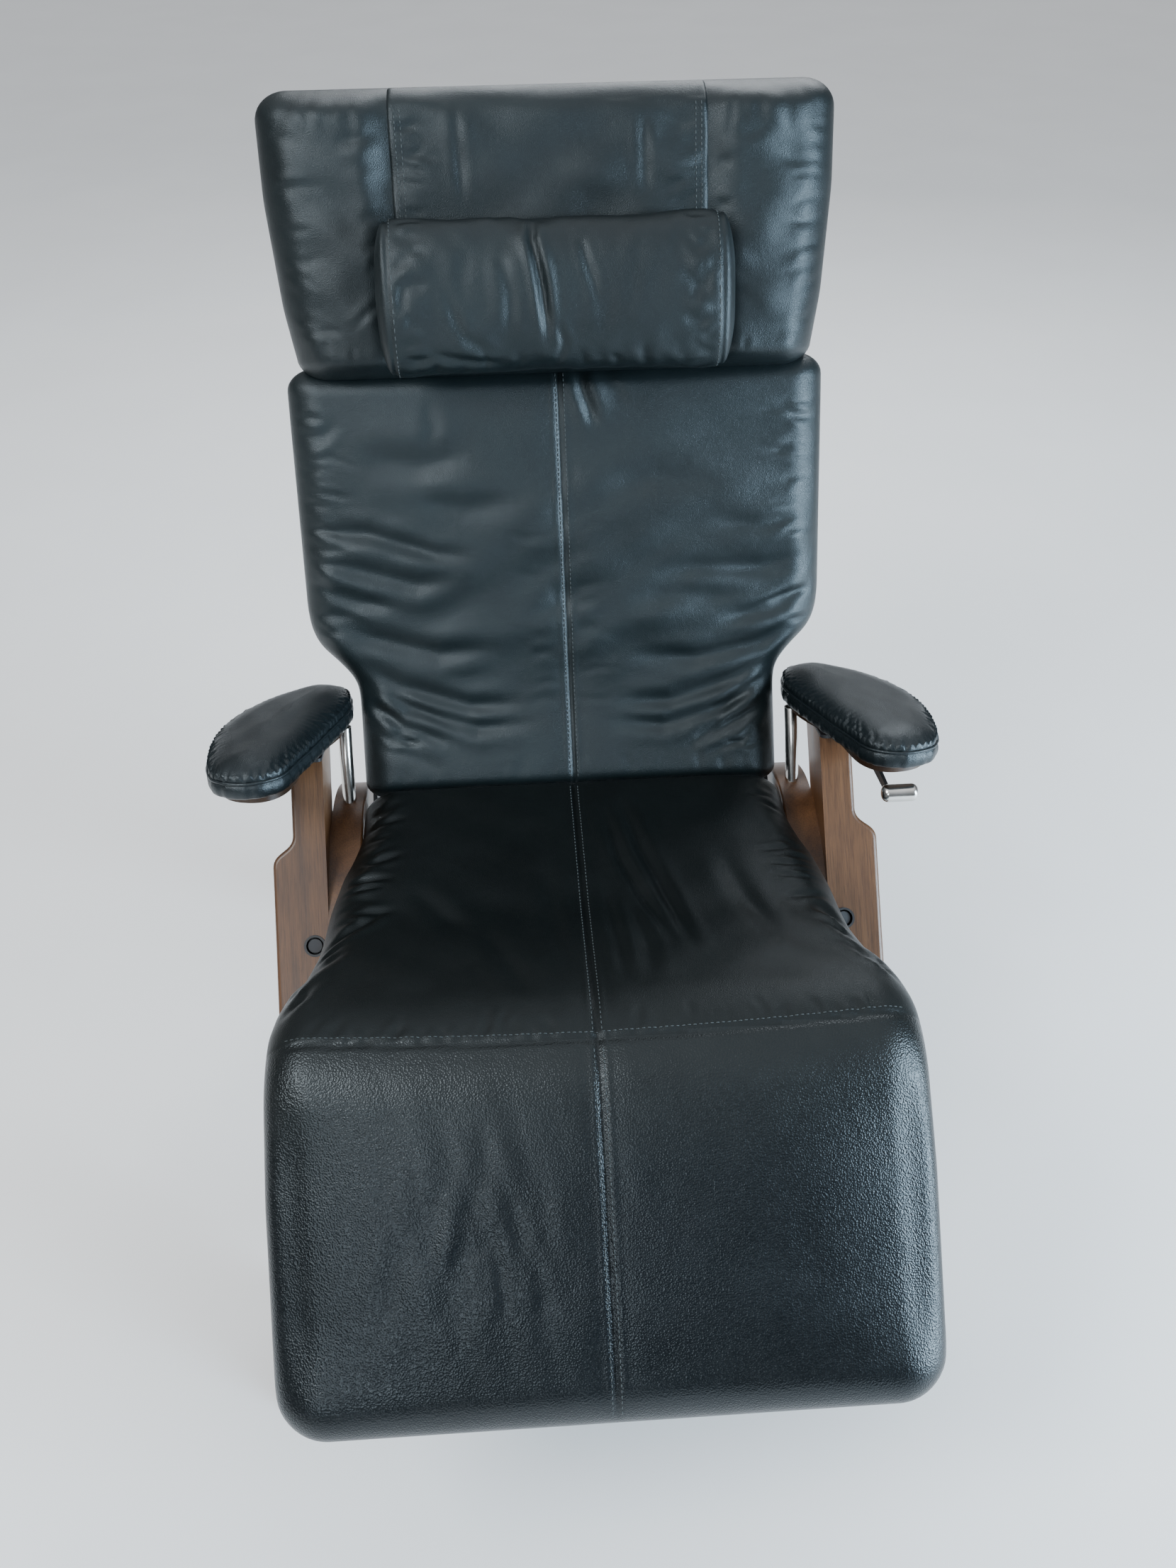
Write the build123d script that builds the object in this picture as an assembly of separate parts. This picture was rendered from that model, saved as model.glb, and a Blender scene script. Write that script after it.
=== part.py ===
"""Zero gravity recliner: a wooden base that carries two armrests, and a steel carriage that tips back inside it.

The carriage is an S-shaped seat and calf rest with a hinged back. +X is the sitter's left, the front faces -Y,
+Z is up, and the origin is on the floor under the middle of the chair. Units are millimetres.
Side views are drawn as (y, z) pairs and pushed out along X. Everything is drawn upright, at rest.
"""

import math
import os

from build123d import *

# ---- Driving dimensions -------------------------------------------------------------------------------
CENTRE_Y = -38.0  # side views are drawn about the hip, and this puts the middle of the chair at y = 0

PIVOT = (60.0, 392.0)  # main recline pivot, through both legs of each side
HINGE = (160.0, 409.0)  # back hinge, at the rear of the seat rails

SEAT_LINE = [(-566.0, 296.0), (-312.0, 532.0), (-112.0, 486.0), (116.0, 479.0)]  # face of the calf and seat pad
SEAT_RADII = [120.0, 260.0]
BACK_LINE = [(132.0, 481.0), (192.0, 566.0), (417.0, 1170.0)]  # face of the back and head pads
BACK_RADII = [320.0]

PAD = 57.0  # thickness of the seat, calf and back pads
RAIL_DEPTH = 72.0  # from the pad's face to the middle of the rail behind it
RAIL_R = 12.5
RAIL_WALL = 2.0
SEAT_RAIL_X = 222.0
BACK_RAIL_X = 228.0
PLATE = 5.0  # steel side plates
SEAT_PLATE_X = SEAT_RAIL_X + RAIL_R
BACK_PLATE_X = BACK_RAIL_X + RAIL_R

SEAT_PLAN = [(249, 150), (249, -90), (263, -190), (300, -285), (306, -400), (306, -500), (290, -640)]  # half outline
BACK_PLAN = [(249, 440), (249, 588), (291, 640), (298, 720), (298, 960)]
HEAD_PLAN = [(276, 880), (314, 1230)]
HEAD_START = 372.0  # where the head pad begins, along the straight part of the back line
HEAD_PROUD = 24.0  # how far the head pad stands in front of the back pad

REAR_LEG_X = 253.0  # inner face of the rear leg; the front leg starts where it ends
LEG_THICK = 38.0
FRONT_LEG_X = REAR_LEG_X + LEG_THICK
CHEEK = 24.0  # extra thickness of the front leg below its shoulder

PIN_R = 8.0
BUSH_R = 11.0
HINGE_PIN_R = 6.0
RUNNING = 0.06  # radial clearance of a pin in its bush

ARM_TILT = 16.0  # the armrests rise to the front
ARM_FRONT = (-16.0, 626.0)  # front end of the pad's top face
ARM_PAD = 36.0
ARM_BOARD = 11.0
MOUNT_PLATE = 4.0
ARM_TUBE_R = 8.0
ARM_TUBE_X = REAR_LEG_X + LEG_THICK / 2

PILLOW = (142.0, 74.0)  # height and thickness of the head pillow
PILLOW_HALF = 178.0
PILLOW_ALONG = 442.0  # middle of the pillow, along the back line
FLAP_HALF = 165.0

LEVER_PIVOT = (342.0, 74.0, 534.0)
KNOB = (352.0, -14.0, 548.0)


# ---- Small helpers ------------------------------------------------------------------------------------
def side_face(outline):
    """A face in the side view, from a closed list of edges in (y, z)."""
    return Plane.YZ * make_face(outline)


def slab(face, x, thickness):
    """A side-view face pushed out along +X, from x to x + thickness."""
    return extrude(face, amount=thickness, dir=(1, 0, 0)).moved(Location((x, 0, 0)))


def rod(x0, x1, centre, radius):
    """A round bar along X."""
    length = x1 - x0
    return Plane.YZ.offset(x0) * Pos(*centre) * extrude(Circle(radius), amount=length)


def ring(x0, x1, centre, outer, inner):
    return rod(x0, x1, centre, outer) - rod(x0 - 1, x1 + 1, centre, inner)


def unit(a, b):
    length = math.dist(a, b)
    return ((b[0] - a[0]) / length, (b[1] - a[1]) / length)


def shifted(points, depth):
    """The corner line moved sideways by depth, to the right of its direction, with mitred corners."""
    normals = [(d[1], -d[0]) for d in (unit(a, b) for a, b in zip(points, points[1:]))]
    out = []
    for i, p in enumerate(points):
        before = normals[max(i - 1, 0)]
        after = normals[min(i, len(normals) - 1)]
        mean = (before[0] + after[0], before[1] + after[1])
        scale = depth * 2 / (mean[0] ** 2 + mean[1] ** 2)
        out.append((p[0] + mean[0] * scale, p[1] + mean[1] * scale))
    return out


def turn(a, b, c):
    """Signed turn of the line a-b-c at b: positive to the left."""
    u, v = unit(a, b), unit(b, c)
    return math.copysign(1.0, u[0] * v[1] - u[1] * v[0])


def soft_line(points, radii, depth=0.0):
    """The corner line at a depth behind a pad's face, with its corners rounded about the same centres."""
    moved = shifted(points, depth)
    rounded = [r + depth * turn(*points[i : i + 3]) for i, r in enumerate(radii)]
    if not rounded:
        return Line(*moved)
    return FilletPolyline(*moved, radius=rounded)


def point_on(points, segment, along, depth, from_end=False):
    """A point a distance along one straight segment, at a depth behind it, and the segment's direction."""
    a, b = points[segment], points[segment + 1]
    d = unit(a, b)
    if from_end:
        a = b
    return (a[0] + d[0] * along + d[1] * depth, a[1] + d[1] * along - d[0] * depth), d


def strap(points, segment, along, half_width, wide=48.0, thick=2.0):
    """An elastic strap across the rails, flat on their face."""
    centre, d = point_on(points, segment, along, RAIL_DEPTH - RAIL_R - thick / 2)
    plane = Plane(origin=(0, *centre), x_dir=(1, 0, 0), z_dir=(0, -d[1], d[0]))
    return plane * Box(2 * half_width, wide, thick)


def tube(path, outer, wall):
    """A hollow tube along a path in space."""
    start = Plane(origin=path @ 0, z_dir=path % 0)
    return sweep(start * (Circle(outer) - Circle(outer - wall)), path=path)


def pair(part):
    """The part and its mirror image on the other side."""
    return part, mirror(part, about=Plane.YZ)


def group(parts):
    return Compound([solid for part in parts for solid in part.solids()])


written = {}


def write(name, shape):
    """Keeps a node for export, moved so that the origin is under the middle of the chair."""
    written[name] = shape.moved(Location((0, -CENTRE_Y, 0)))


def write_pair(name, part):
    left, right = pair(part)
    write(f"left_{name}", left)
    write(f"right_{name}", right)


# ---- Wooden base --------------------------------------------------------------------------------------
LEG_FRONT_EDGE = [(140.0, 562.0), (-47.0, 355.0), (-172.0, 222.0), (-292.0, 98.0), (-400.0, 0.0)]
LEG_REAR_EDGE = [(236.0, 562.0), (48.0, 355.0), (-68.0, 226.0), (-180.0, 110.0), (-282.0, 0.0)]
REAR_LEG_TOP = [(-22.0, 388.0), (62.0, 431.0), (134.0, 441.0), (205.0, 416.0)]
REAR_LEG_TOP += [(292.0, 330.0), (370.0, 185.0), (424.0, 0.0)]
REAR_LEG_UNDER = [(-6.0, 322.0), (70.0, 350.0), (130.0, 360.0), (188.0, 340.0)]
REAR_LEG_UNDER += [(254.0, 270.0), (312.0, 150.0), (344.0, 0.0)]
SHOULDER = (43.0, 455.0)  # on the front leg's front face
INTO_LEG = (0.743, -0.669)  # square to its front face
STRETCHER_FRONT = (-222.0, 112.0)
STRETCHER_REAR = (350.0, 118.0)
LAP_BOLT = (12.0, 360.0)
CUP = (FRONT_LEG_X + 17.0, -31.4, 372.6)  # round socket in the front leg's front face
CUP_R = 12.5
CUP_DEPTH = 14.0
GLIDE = 5.0
ARM_NORMAL = (math.sin(math.radians(ARM_TILT)), math.cos(math.radians(ARM_TILT)))
ARM_UNDERSIDE = ARM_PAD + ARM_BOARD
OUTER_FACE = FRONT_LEG_X + LEG_THICK + CHEEK
COUNTERBORE = FRONT_LEG_X + LEG_THICK + 12
OPEN_SIDE = 500.0  # a length that runs clear of the leg's outer face


def arm_plane(depth):
    """A plane parallel to the armrest's top face, at a depth below it: local x is X, local y runs rearward."""
    origin = (0, ARM_FRONT[0] - ARM_NORMAL[0] * depth, ARM_FRONT[1] - ARM_NORMAL[1] * depth)
    return Plane(origin=origin, x_dir=(1, 0, 0), z_dir=(0, *ARM_NORMAL))


def under_arm(depth):
    """Everything lower than the arm plane at a depth."""
    return arm_plane(depth) * Pos(0, 0, -1000) * Box(2000, 2000, 2000)


def above_floor():
    return Pos(0, 0, 1000 + GLIDE) * Box(3000, 3000, 2000)


def plank_face(front, rear):
    front, rear = Spline(*front), Spline(*rear)
    return side_face([front, Line(front @ 1, rear @ 1), rear, Line(rear @ 0, front @ 0)])


def cup_plane():
    return Plane(origin=CUP, x_dir=(1, 0, 0), z_dir=(0, -INTO_LEG[0], -INTO_LEG[1]))


def front_leg():
    """A plank that rakes from the armrest down to the front foot, and swells outward below its shoulder."""
    plank = slab(plank_face(LEG_FRONT_EDGE, LEG_REAR_EDGE), FRONT_LEG_X, LEG_THICK + CHEEK)
    narrow, wide = FRONT_LEG_X + LEG_THICK, OUTER_FACE
    swell = Spline((narrow, -18), (wide, 20), tangents=[(0, 1), (0, 1)])
    inner = FRONT_LEG_X - 6
    sides = Polyline((narrow, -18), (narrow, -600), (inner, -600), (inner, 900), (wide, 900), (wide, 20))
    elevation = Plane(origin=(0, *SHOULDER), x_dir=(1, 0, 0), z_dir=(0, *INTO_LEG))
    leg = plank & elevation * extrude(make_face([swell, sides]), amount=400, both=True)
    long_edges = leg.edges().filter_by(lambda e: e.center().X > narrow - 1 and e.length > 60)
    leg = fillet(long_edges.filter_by(lambda e: 40 < e.center().Z < 540), 5)
    leg &= under_arm(ARM_UNDERSIDE + MOUNT_PLATE)
    leg -= cup_plane() * Cylinder(CUP_R, 2 * CUP_DEPTH)
    for centre, shank, head in ((PIVOT, PIN_R, 15), (LAP_BOLT, 5, 11), (STRETCHER_FRONT, 4, 11)):
        leg -= rod(FRONT_LEG_X - 1, OPEN_SIDE, centre, shank)
        leg -= rod(COUNTERBORE, OPEN_SIDE, centre, head)
    return leg & above_floor()


def rear_leg():
    """A curved plank lapped to the inside of the front leg, with a crest that the arm tube stands on."""
    leg = slab(plank_face(REAR_LEG_TOP, REAR_LEG_UNDER), REAR_LEG_X, LEG_THICK)
    leg = fillet(leg.edges().filter_by(Axis.X).filter_by(lambda e: e.center().Y < 30), 16)
    inner = leg.edges().filter_by(lambda e: e.center().X < REAR_LEG_X + 0.1 and e.length > 100)
    leg = fillet(inner, 3)
    for centre, shank in ((PIVOT, PIN_R), (LAP_BOLT, 5), (STRETCHER_REAR, 4)):
        leg -= rod(REAR_LEG_X - 1, FRONT_LEG_X + 1, centre, shank)
    leg -= rod(FRONT_LEG_X - 12, FRONT_LEG_X + 1, STRETCHER_REAR, 11)
    leg -= rod_along(arm_tube_path(), ARM_TUBE_R)
    return leg & above_floor()


def arm_tube_path():
    """Up from a socket in the rear leg's crest, bending back to the rear of the armrest."""
    return Plane.YZ.offset(ARM_TUBE_X) * FilletPolyline((138, 418), (170, 488), (222, 560), radius=160)


def rod_along(path, radius):
    start = Plane(origin=path @ 0, z_dir=path % 0)
    return sweep(start * Circle(radius), path=path)


def arm_tube():
    return tube(arm_tube_path(), ARM_TUBE_R, 1.5) & under_arm(ARM_UNDERSIDE)


def stretcher(centre, half_width, lean):
    """A rounded wooden bar between two legs, turned to lie along them, with a bolt hole in each end."""
    bar = Rot(lean, 0, 0) * Box(2 * half_width, 56, 27)
    bar = Pos(0, *centre) * fillet(bar.edges().filter_by(Axis.X), 6)
    for side in (-1, 1):
        ends = sorted((side * (half_width - 45), side * OPEN_SIDE))
        bar -= rod(*ends, centre, 4)
    return bar


def bolt(x0, x1, centre, shank, head):
    """A bolt along X: a shank from x0 to x1 and a round head beyond it."""
    return rod(x0, x1, centre, shank) + rod(x1, x1 + 6, centre, head)


def cap_disc(x0, x1, centre, radius):
    disc = rod(x0, x1, centre, radius)
    return fillet(disc.edges().sort_by(Axis.X)[-1], 0.8)


def glide(x, y, radius):
    """A round plastic foot under a leg's end."""
    disc = Pos(x, y, 0) * Cylinder(radius, GLIDE, align=(Align.CENTER, Align.CENTER, Align.MIN))
    return fillet(disc.edges().sort_by(Axis.Z)[0], 1.5)


write_pair("front_leg", front_leg())
write_pair("rear_leg", rear_leg())
write("front_stretcher", stretcher(STRETCHER_FRONT, FRONT_LEG_X, 46))
write("rear_stretcher", stretcher(STRETCHER_REAR, REAR_LEG_X, 110))
write_pair("arm_tube", arm_tube())

write("lap_bolts", group(pair(bolt(REAR_LEG_X + 3.5, COUNTERBORE, LAP_BOLT, 5, 9))))
front_bolt = bolt(FRONT_LEG_X - 40, COUNTERBORE, STRETCHER_FRONT, 4, 9)
rear_bolt = bolt(REAR_LEG_X - 40, FRONT_LEG_X - 12, STRETCHER_REAR, 4, 9)
write("stretcher_bolts", group([*pair(front_bolt), *pair(rear_bolt)]))
caps = [
    cap_disc(COUNTERBORE + 7, OUTER_FACE + 1, LAP_BOLT, 11),
    cap_disc(COUNTERBORE + 7, OUTER_FACE + 1, STRETCHER_FRONT, 11),
    cap_disc(FRONT_LEG_X - 5.5, FRONT_LEG_X + 1, STRETCHER_REAR, 11),
    cap_disc(COUNTERBORE + 9, OUTER_FACE + 1, PIVOT, 15),
]
write("bolt_caps", group(piece for cap in caps for piece in pair(cap)))
front_glide = glide(FRONT_LEG_X + (LEG_THICK + CHEEK) / 2, -338, 20)
rear_glide = glide(REAR_LEG_X + LEG_THICK / 2, 384, 15)
write("floor_glides", group([*pair(front_glide), *pair(rear_glide)]))

pivot_pin = rod(SEAT_PLATE_X, COUNTERBORE, PIVOT, PIN_R) + rod(COUNTERBORE, COUNTERBORE + 8, PIVOT, 13)
write_pair("pivot_pin", pivot_pin)
write("pivot_spacers", group(pair(ring(SEAT_PLATE_X + PLATE + 3.5, REAR_LEG_X, PIVOT, 12, PIN_R))))

cup = Cylinder(CUP_R, CUP_DEPTH + 0.5) - Pos(0, 0, 3) * Cylinder(CUP_R - 2.5, CUP_DEPTH + 0.5)
cup = cup_plane() * Pos(0, 0, (0.5 - CUP_DEPTH) / 2) * cup
plug = cup_plane() * Pos(0, 0, 3 - CUP_DEPTH) * Cylinder(8, 9, align=(Align.CENTER, Align.CENTER, Align.MIN))
write("leg_cups", group(pair(cup)))
write("leg_plugs", group(pair(plug)))


# ---- Armrests -----------------------------------------------------------------------------------------
ARM_OUTLINE = [
    (352, 0),
    (386, 16),
    (402, 90),
    (396, 158),
    (372, 212),
    (338, 250),
    (302, 271),
    (271, 260),
    (261, 222),
    (282, 126),
    (301, 60),
    (318, 14),
]
ARM_MIDDLE = (330, 130)


def arm_shape(inset, depth, thickness):
    """The armrest's plan shape, drawn in by an inset, from a depth below the top face."""
    points = []
    for p in ARM_OUTLINE:
        d = unit(p, ARM_MIDDLE)
        points.append((p[0] + d[0] * inset, p[1] + d[1] * inset))
    return arm_plane(depth + thickness) * extrude(make_face(Spline(*points, periodic=True)), amount=thickness)


arm_plate = extrude(RectangleRounded(LEG_THICK + 4, 92, 6), amount=MOUNT_PLATE)
arm_plate_plane = arm_plane(ARM_UNDERSIDE + MOUNT_PLATE)
write_pair("arm_pad", arm_shape(0, 0, ARM_PAD))
write_pair("arm_board", arm_shape(18, ARM_PAD, ARM_BOARD))
write_pair("arm_plate", arm_plate_plane * Pos(FRONT_LEG_X + LEG_THICK / 2, 178, 0) * arm_plate)


# ---- Release lever, under the armrest on the sitter's left ----------------------------------------------
def lever_bracket():
    """A small channel under the board, with an ear on each side of the lever's arm."""
    x, y, z = LEVER_PIVOT
    ear = make_hull((Pos(y, z) * Circle(8)).edges() + (Pos(y, z + 34) * Rectangle(32, 10)).edges())
    ears = [slab(Plane.YZ * ear, x + side, 3) for side in (-9.0, 6.0)]
    web = arm_plane(ARM_UNDERSIDE + 3) * Pos(x, 92, 1.5) * Box(18, 34, 3)
    bracket = (ears[0] + ears[1]) & under_arm(ARM_UNDERSIDE)
    return bracket + web - rod(x - 20, x + 20, (y, z), 3)


def lever_arm():
    """A flat steel arm that reaches forward from its pivot to the knob."""
    x, y, z = LEVER_PIVOT
    link = make_hull((Pos(y, z) * Circle(7)).edges() + (Pos(KNOB[1], KNOB[2]) * Circle(4)).edges())
    arm = slab(Plane.YZ * link, x - 2, 4) + rod(x - 5.5, x + 5.5, (y, z), 7)
    arm += rod(x, KNOB[0] - 15, KNOB[1:], 4)
    return arm - rod(x - 20, x + 20, (y, z), 3 + RUNNING)


write("lever_bracket", lever_bracket())
write("lever_pin", rod(LEVER_PIVOT[0] - 10, LEVER_PIVOT[0] + 10, LEVER_PIVOT[1:], 3))
arm = lever_arm()
write("lever_arm", arm)
write("lever_knob", fillet(rod(KNOB[0] - 18, KNOB[0] + 22, KNOB[1:], 10).edges(), 7) - arm)


# ---- Seat and calf frame --------------------------------------------------------------------------------
def rail_path(points, radii, x, start_trim, end_trim):
    """The line of a side rail, behind a pad and cut back at both ends."""
    ends = [point_on(points, 0, start_trim, 0)[0], point_on(points, len(points) - 2, -end_trim, 0, True)[0]]
    corners = [ends[0], *points[1:-1], ends[1]]
    return Plane.YZ.offset(x) * soft_line(corners, radii, RAIL_DEPTH)


def cross_tube(points, segment, along, rails, half_width):
    """A tube between the two rails, coped to their outsides."""
    centre, _ = point_on(points, segment, along, RAIL_DEPTH)
    bar = ring(-half_width, half_width, centre, RAIL_R - 1.5, RAIL_R - 1.5 - RAIL_WALL)
    for path in rails:
        bar -= rod_along(path, RAIL_R)
    return bar


def straps(points, segment, stations, half_width):
    """Elastic straps across the rails, flat on their face."""
    return [strap(points, segment, along, half_width) for along in stations]


def side_plate(circles, x, bores):
    """A steel plate in the side view whose outline wraps a few circles, with round bores."""
    edges = ShapeList()
    for centre, radius in circles:
        edges += (Pos(*centre) * Circle(radius)).edges()
    plate = slab(Plane.YZ * make_hull(edges), x, PLATE)
    for centre, radius in bores:
        plate -= rod(x - 1, x + PLATE + 1, centre, radius)
    return plate


def pad(points, radii, front, back, plan, plane, length):
    """A cushion between two depths of a side line, cut to a plan outline that is pushed through it."""
    near, far = soft_line(points, radii, front), soft_line(points, radii, back)
    face = side_face([near, Line(near @ 1, far @ 1), far, Line(far @ 0, near @ 0)])
    block = slab(face, -400, 800)
    loop = [*plan, *[(-x, y) for x, y in reversed(plan)]]
    return block & plane * extrude(make_face(Polyline(*loop, close=True)), amount=length, both=True)


def plug_ends(path, at_start):
    """A plastic plug in the open end of a tube."""
    where, way = (path @ 0, -(path % 0)) if at_start else (path @ 1, path % 1)
    plane = Plane(origin=where, z_dir=way)
    cap = Cylinder(RAIL_R, 3, align=(Align.CENTER, Align.CENTER, Align.MIN))
    stem = Cylinder(RAIL_R - RAIL_WALL - 0.2, 12, align=(Align.CENTER, Align.CENTER, Align.MAX))
    return plane * (cap + stem)


seat_paths = [rail_path(SEAT_LINE, SEAT_RADII, x, 60, 8) for x in (SEAT_RAIL_X, -SEAT_RAIL_X)]
back_paths = [rail_path(BACK_LINE, BACK_RADII, x, 6, 50) for x in (BACK_RAIL_X, -BACK_RAIL_X)]

write_pair("seat_rail", tube(seat_paths[0], RAIL_R, RAIL_WALL))
plate = side_plate([(PIVOT, 21), (HINGE, 13), ((10, 409), 11)], SEAT_PLATE_X, [(PIVOT, BUSH_R), (HINGE, HINGE_PIN_R)])
write_pair("seat_plate", plate)
bush = ring(SEAT_PLATE_X, SEAT_PLATE_X + PLATE + 3, PIVOT, BUSH_R, PIN_R + RUNNING)
write("pivot_bushes", group(pair(bush)))
write("calf_cross_tube", cross_tube(SEAT_LINE, 0, 80, seat_paths, SEAT_RAIL_X))
write("knee_cross_tube", cross_tube(SEAT_LINE, 1, 115, seat_paths, SEAT_RAIL_X))
write("rear_cross_tube", cross_tube(SEAT_LINE, 2, 150, seat_paths, SEAT_RAIL_X))
write("calf_straps", group(straps(SEAT_LINE, 0, (110, 175, 240), SEAT_RAIL_X + 8)))
write("seat_straps", group(straps(SEAT_LINE, 2, (60, 125, 190), SEAT_RAIL_X + 8)))
write("calf_end_plugs", group(pair(plug_ends(seat_paths[0], True))))
write("seat_and_calf_pad", pad(SEAT_LINE, SEAT_RADII, 0, PAD, SEAT_PLAN, Plane.XY, 1500))


# ---- Back frame -----------------------------------------------------------------------------------------
hinge_pin = rod(SEAT_PLATE_X - 3, BACK_PLATE_X + PLATE + 1, HINGE, HINGE_PIN_R)
hinge_pin += rod(BACK_PLATE_X + PLATE + 1, BACK_PLATE_X + PLATE + 4, HINGE, 10)
write_pair("hinge_pin", hinge_pin)

write_pair("back_rail", tube(back_paths[0], RAIL_R, RAIL_WALL))
foot = point_on(BACK_LINE, 0, 18, RAIL_DEPTH + 4)[0]
knuckle = point_on(BACK_LINE, 1, 40, RAIL_DEPTH)[0]
hinge_bore = [(HINGE, HINGE_PIN_R + RUNNING)]
back_plate = side_plate([(HINGE, 13), (foot, 9)], BACK_PLATE_X, hinge_bore)
back_plate += side_plate([(foot, 9), (knuckle, 9)], BACK_PLATE_X, [])
write_pair("back_plate", back_plate)
write("lower_cross_tube", cross_tube(BACK_LINE, 1, 70, back_paths, BACK_RAIL_X))
write("upper_cross_tube", cross_tube(BACK_LINE, 1, 430, back_paths, BACK_RAIL_X))
write("back_straps", group(straps(BACK_LINE, 1, (130, 210, 290, 370), BACK_RAIL_X + 8)))
ends = [*pair(plug_ends(back_paths[0], True)), *pair(plug_ends(back_paths[0], False))]
write("back_end_plugs", group(ends))

join = point_on(BACK_LINE, 1, HEAD_START, 0)[0]
head_foot = point_on(BACK_LINE, 1, HEAD_START + 1, 0)[0]
write("back_pad", pad([*BACK_LINE[:2], join], BACK_RADII, 0, PAD, BACK_PLAN, Plane.XZ, 1500))
head_line = [head_foot, BACK_LINE[2]]
write("head_pad", pad(head_line, [], -HEAD_PROUD, PAD, HEAD_PLAN, Plane.XZ, 1500))


# ---- Pillow ---------------------------------------------------------------------------------------------
def along_back(along, depth):
    """A plane on the back's straight part: local x is X, local y runs up the back, local z points behind it."""
    centre, d = point_on(BACK_LINE, 1, along, depth)
    return Plane(origin=(0, *centre), x_dir=(-1, 0, 0), z_dir=(0, d[1], -d[0]))


def pillow():
    """A plump bolster that hangs in front of the head pad."""
    high, thick = PILLOW
    roll = extrude(Ellipse(thick / 2, high / 2), amount=PILLOW_HALF, both=True)
    place = along_back(PILLOW_ALONG, -HEAD_PROUD - 0.6 - thick / 2)
    return place * Rot(0, 90, 0) * roll


def flap():
    """A leather band from the pillow's top, over the head pad and down to the counterweight behind."""
    top = math.dist(BACK_LINE[1], BACK_LINE[2])
    low = PILLOW_ALONG + 66
    front, rear, gap, thick = -HEAD_PROUD - 0.5, PAD + 0.5, 0.5, 2.4
    inner = [(front, low), (front, top + gap), (rear, top + gap), (rear, top - 60)]
    outer = [(rear + thick, top - 60), (rear + thick, top + gap + thick), (front - thick, top + gap + thick)]
    outer.append((front - thick, low))
    face = make_face(Polyline(*inner, *outer, close=True))
    section = Plane(origin=(0, *BACK_LINE[1]), x_dir=(0, BACK_UP[1], -BACK_UP[0]), z_dir=(1, 0, 0))
    return section * extrude(face, amount=FLAP_HALF, both=True)


def counterweight():
    """A flat weighted pouch that hangs behind the head pad from the flap."""
    top = math.dist(BACK_LINE[1], BACK_LINE[2])
    pouch = Box(2 * FLAP_HALF - 20, 110, 18)
    pouch = fillet(pouch.edges().filter_by(Axis.Z), 12)
    return along_back(top - 61 - 55, PAD + 4 + 9) * pouch


BACK_UP = unit(BACK_LINE[1], BACK_LINE[2])
write("pillow", pillow())
write("pillow_flap", flap())
write("counterweight", counterweight())

os.makedirs("parts", exist_ok=True)
for name, shape in written.items():
    export_step(shape, f"parts/{name}.step")
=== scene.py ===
"""Looks of the zero gravity recliner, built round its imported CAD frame. Metres, front -Y, up +Z."""

import math

import bmesh
import bpy
import numpy as np
from mathutils import Matrix, Vector


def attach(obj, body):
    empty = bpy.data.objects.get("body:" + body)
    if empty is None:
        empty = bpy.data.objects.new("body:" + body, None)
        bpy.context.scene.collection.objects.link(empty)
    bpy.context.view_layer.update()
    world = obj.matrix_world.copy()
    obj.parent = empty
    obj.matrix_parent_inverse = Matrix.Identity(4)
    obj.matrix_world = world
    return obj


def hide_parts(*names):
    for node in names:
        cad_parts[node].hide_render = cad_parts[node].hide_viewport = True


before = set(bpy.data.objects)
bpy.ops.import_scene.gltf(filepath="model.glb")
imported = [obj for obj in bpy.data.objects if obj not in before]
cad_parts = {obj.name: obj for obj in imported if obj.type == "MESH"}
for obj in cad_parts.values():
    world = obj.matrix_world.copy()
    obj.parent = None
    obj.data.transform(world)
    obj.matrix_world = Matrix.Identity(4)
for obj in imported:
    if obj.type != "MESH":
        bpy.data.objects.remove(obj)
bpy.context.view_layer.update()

HIP = 0.038  # the side views are measured from here along Y


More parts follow.
